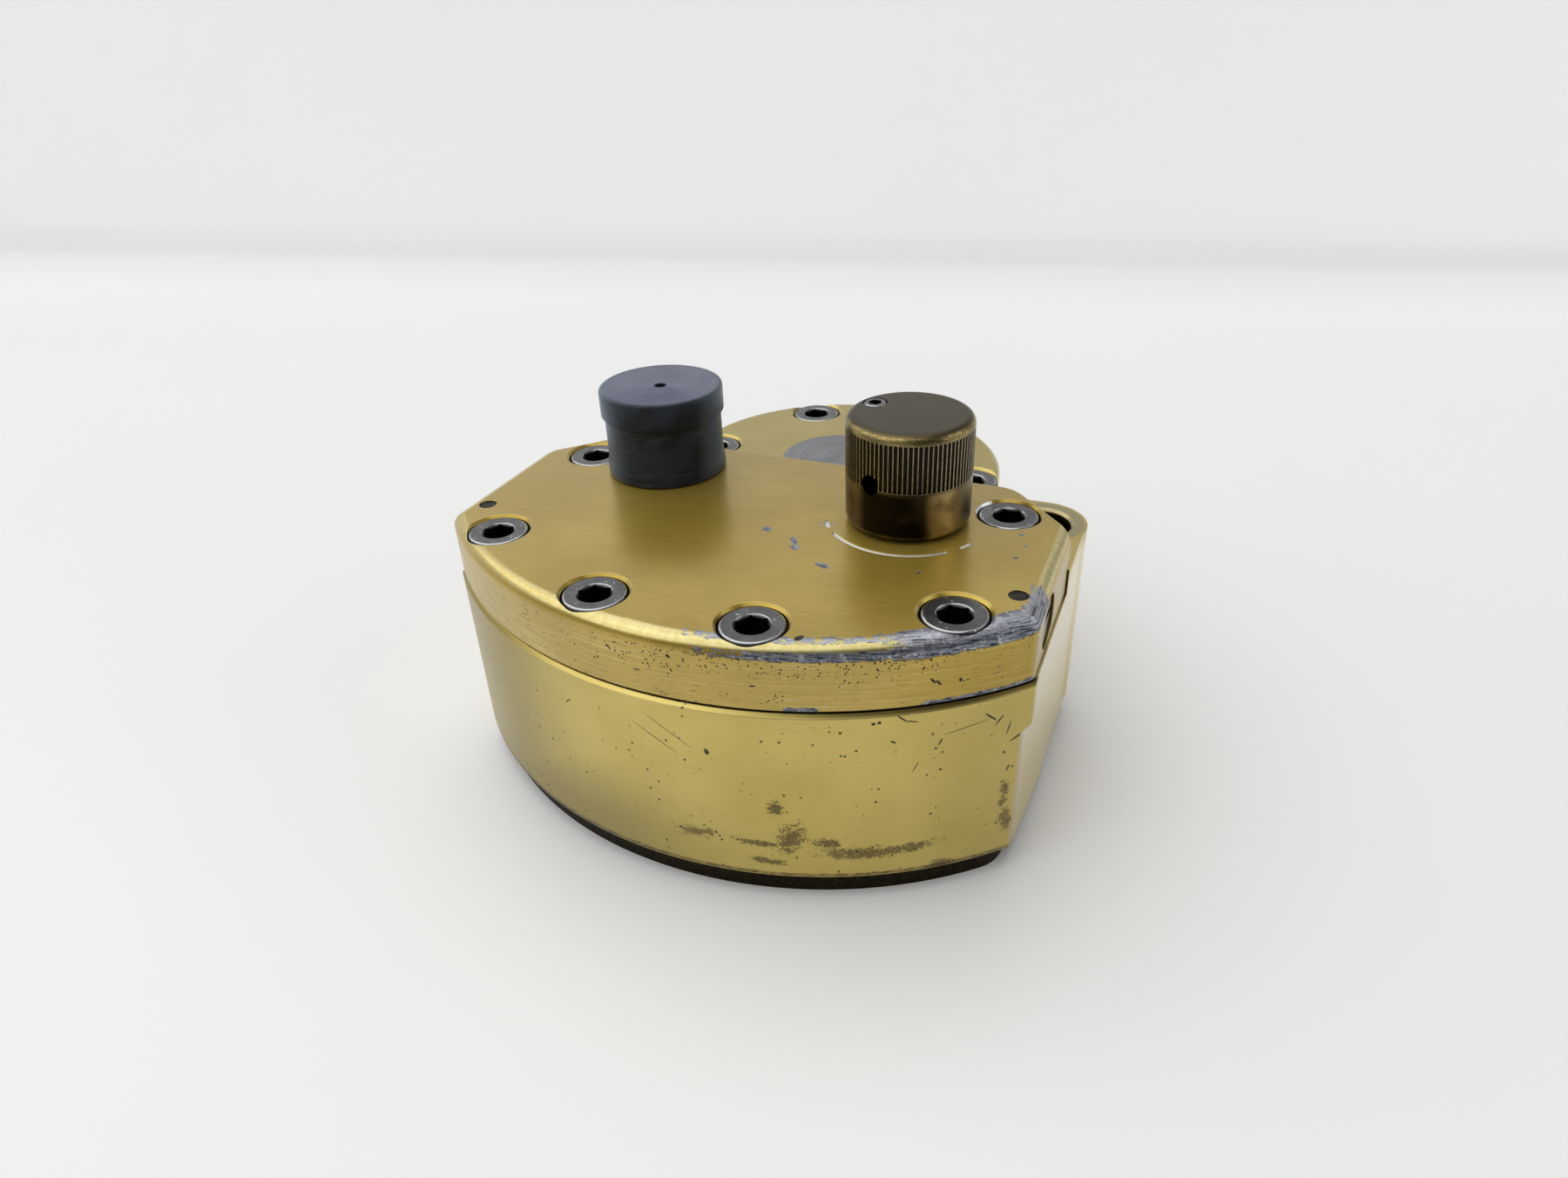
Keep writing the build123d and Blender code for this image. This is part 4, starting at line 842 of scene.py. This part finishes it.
def soft_corners(section):
    """Points of a closed section with each corner replaced by a curve."""
    points = []
    for index, (radius, height, soft) in enumerate(section):
        corner = Vector((radius, height))
        before = Vector(section[index - 1][:2]) - corner
        after = Vector(section[(index + 1) % len(section)][:2]) - corner
        start = corner + before.normalized() * min(soft, before.length * CORNER_SHARE)
        end = corner + after.normalized() * min(soft, after.length * CORNER_SHARE)
        for step in range(CORNER_STEPS + 1):
            t = step / CORNER_STEPS
            points.append(start * (1 - t) ** 2 + corner * (2 * t * (1 - t)) + end * t ** 2)
    return points


def rubber_cap():
    """The dust cap, turned from its section, with its collar, waist, vent hole and bore."""
    shape = bmesh.new()
    ring = [
        shape.verts.new(((rubber_x + p.x) * MM, rubber_y * MM, (rubber_low.z + p.y) * MM))
        for p in soft_corners(CAP_SECTION)
    ]
    edges = [shape.edges.new((ring[i - 1], ring[i])) for i in range(len(ring))]
    bmesh.ops.spin(
        shape,
        geom=ring + edges,
        cent=(rubber_x * MM, rubber_y * MM, 0),
        axis=(0, 0, 1),
        angle=2 * pi,
        steps=CAP_STEPS,
        use_merge=True,
    )
    bmesh.ops.remove_doubles(shape, verts=shape.verts[:], dist=MERGE_DISTANCE)
    return finish_mesh("rubber_cap", shape, rubber)


cap = rubber_cap()
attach(cap, "cap")
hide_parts("dust_cap")


def relief_coil():
    """The relief valve's spring, copied from its node."""
    shape = bmesh.new()
    shape.from_mesh(nodes["relief_spring"].data)
    bmesh.ops.remove_doubles(shape, verts=shape.verts[:], dist=MERGE_DISTANCE)
    return finish_mesh("relief_coil", shape, wire)


lift = next(joint for joint in frame["joints"] if joint["name"] == "poppet_lift")
spring_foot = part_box("relief_spring")[0][2]
spring_seat = lift["deforming_nodes"][0]["fixed_end_z_m"]
shortest = 1 - lift["range_m"][1] / (spring_seat - spring_foot)
coil = relief_coil()
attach(coil, "housing")
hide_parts("relief_spring")
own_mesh(coil)

# Table and wall in one sweep, turned as the line between them lies in the photo
WALL_Y = 278.0
WALL_TURN = 11.15
WALL_HEIGHT = 105.0
WALL_GLOW = 0.20
TABLE_HALF = 1500.0
TABLE_DARK = (0.85, 0.85, 0.85)
TABLE_LIGHT = (0.89, 0.89, 0.885)
COVE = 12.0
COVE_STEPS = 8
BLACK = (0.0, 0.0, 0.0)
WHITE = (1.0, 1.0, 1.0)


def white_table():
    """White table; the wall behind it, above the line between them, glows a little."""
    finish = Finish("white_table", roughness=0.4)
    place = finish.place()
    z = finish.split(place)[2]
    cloud = finish.noise(place, 0.008, 3.0)
    finish.feed(
        base_color=finish.mix(cloud, TABLE_DARK, TABLE_LIGHT),
        emission_color=finish.mix((z - floor_z).rise(0.5, COVE), BLACK, WHITE),
        emission_strength=WALL_GLOW,
    )
    return finish.material


def table_sweep():
    """A strip run back along the table and up the wall, with a cove between them."""
    shape = bmesh.new()
    front_y = -TABLE_HALF * MM
    front = [shape.verts.new((side * TABLE_HALF * MM, front_y, floor_z * MM)) for side in (-1, 1)]
    edge = shape.edges.new(front)
    for step in ((0, TABLE_HALF + WALL_Y, 0), (0, 0, WALL_HEIGHT)):
        grown = bmesh.ops.extrude_edge_only(shape, edges=[edge])["geom"]
        moved = [part for part in grown if isinstance(part, bmesh.types.BMVert)]
        bmesh.ops.translate(shape, verts=moved, vec=Vector(step) * MM)
        edge = shape.edges.get(moved)
    corner = [part for part in shape.edges if len(part.link_faces) == 2]
    bmesh.ops.bevel(
        shape,
        geom=corner,
        offset=COVE * MM,
        segments=COVE_STEPS,
        profile=0.5,
        affect="EDGES",
        material=-1,
    )
    turn = Matrix.Rotation(radians(WALL_TURN), 3, "Z")
    bmesh.ops.rotate(shape, verts=shape.verts[:], cent=(0, 0, 0), matrix=turn)
    return finish_mesh("table_sweep", shape, white_table())


table_sweep()

# Lights: places and sizes in millimetres, power in watts
LIGHT_AIM = (0, -20, 0)


def soft_box(name, place, size, power):
    """Square area light that faces the part."""
    light = bpy.data.lights.new(name, "AREA")
    light.shape = "SQUARE"
    light.size = size * MM
    light.energy = power
    made = bpy.data.objects.new(name, light)
    made.location = Vector(place) * MM
    direction = Vector(LIGHT_AIM) - Vector(place)
    made.rotation_euler = direction.to_track_quat("-Z", "Y").to_euler()
    bpy.context.scene.collection.objects.link(made)


soft_box("overhead", (-430, -220, 1150), 2200, 17.0)
soft_box("right_fill", (900, 150, 420), 800, 2.2)

# Room light: brightest along this direction, from the lower to the higher level over the span
ROOM_BRIGHT_SIDE = (-0.65, 0.40, 0.0)
ROOM_SPAN = (-0.50, 0.66)
ROOM_LEVELS = (0.11, 0.74)


def room_light():
    """World light that is bright on the left and behind the part, and dark on the camera's side."""
    world = bpy.data.worlds.new("room")
    world.use_nodes = True
    room = NodeTree(world.node_tree)
    direction = room.node("ShaderNodeTexCoord", output="Generated")
    settings = {"operation": "DOT_PRODUCT"}
    slope = room.node("ShaderNodeVectorMath", settings, [direction, ROOM_BRIGHT_SIDE], output="Value")
    level = room.node("ShaderNodeMapRange", {}, [slope, *ROOM_SPAN, *ROOM_LEVELS])
    background = room.first("BACKGROUND")
    room.join(background.inputs["Color"], WHITE)
    room.join(background.inputs["Strength"], level)
    return world


def photo_camera():
    """Camera at the photo's place, with its lens, turn, tilt and roll."""
    lens = bpy.data.cameras.new("photo_camera")
    lens.lens = CAMERA_LENS
    lens.sensor_width = SENSOR_WIDTH
    lens.sensor_fit = "HORIZONTAL"
    lens.clip_start = CAMERA_NEAR * MM
    camera = bpy.data.objects.new("photo_camera", lens)
    turn = Matrix.Rotation(radians(CAMERA_YAW), 4, "Z")
    tilt = Matrix.Rotation(radians(90 - CAMERA_PITCH), 4, "X")
    roll = Matrix.Rotation(radians(-CAMERA_ROLL), 4, "Z")
    camera.matrix_world = Matrix.Translation(Vector(CAMERA_PLACE) * MM) @ turn @ tilt @ roll
    bpy.context.scene.collection.objects.link(camera)
    return camera


bpy.context.scene.world = room_light()
bpy.context.scene.camera = photo_camera()
bpy.context.scene.view_settings.view_transform = "Standard"
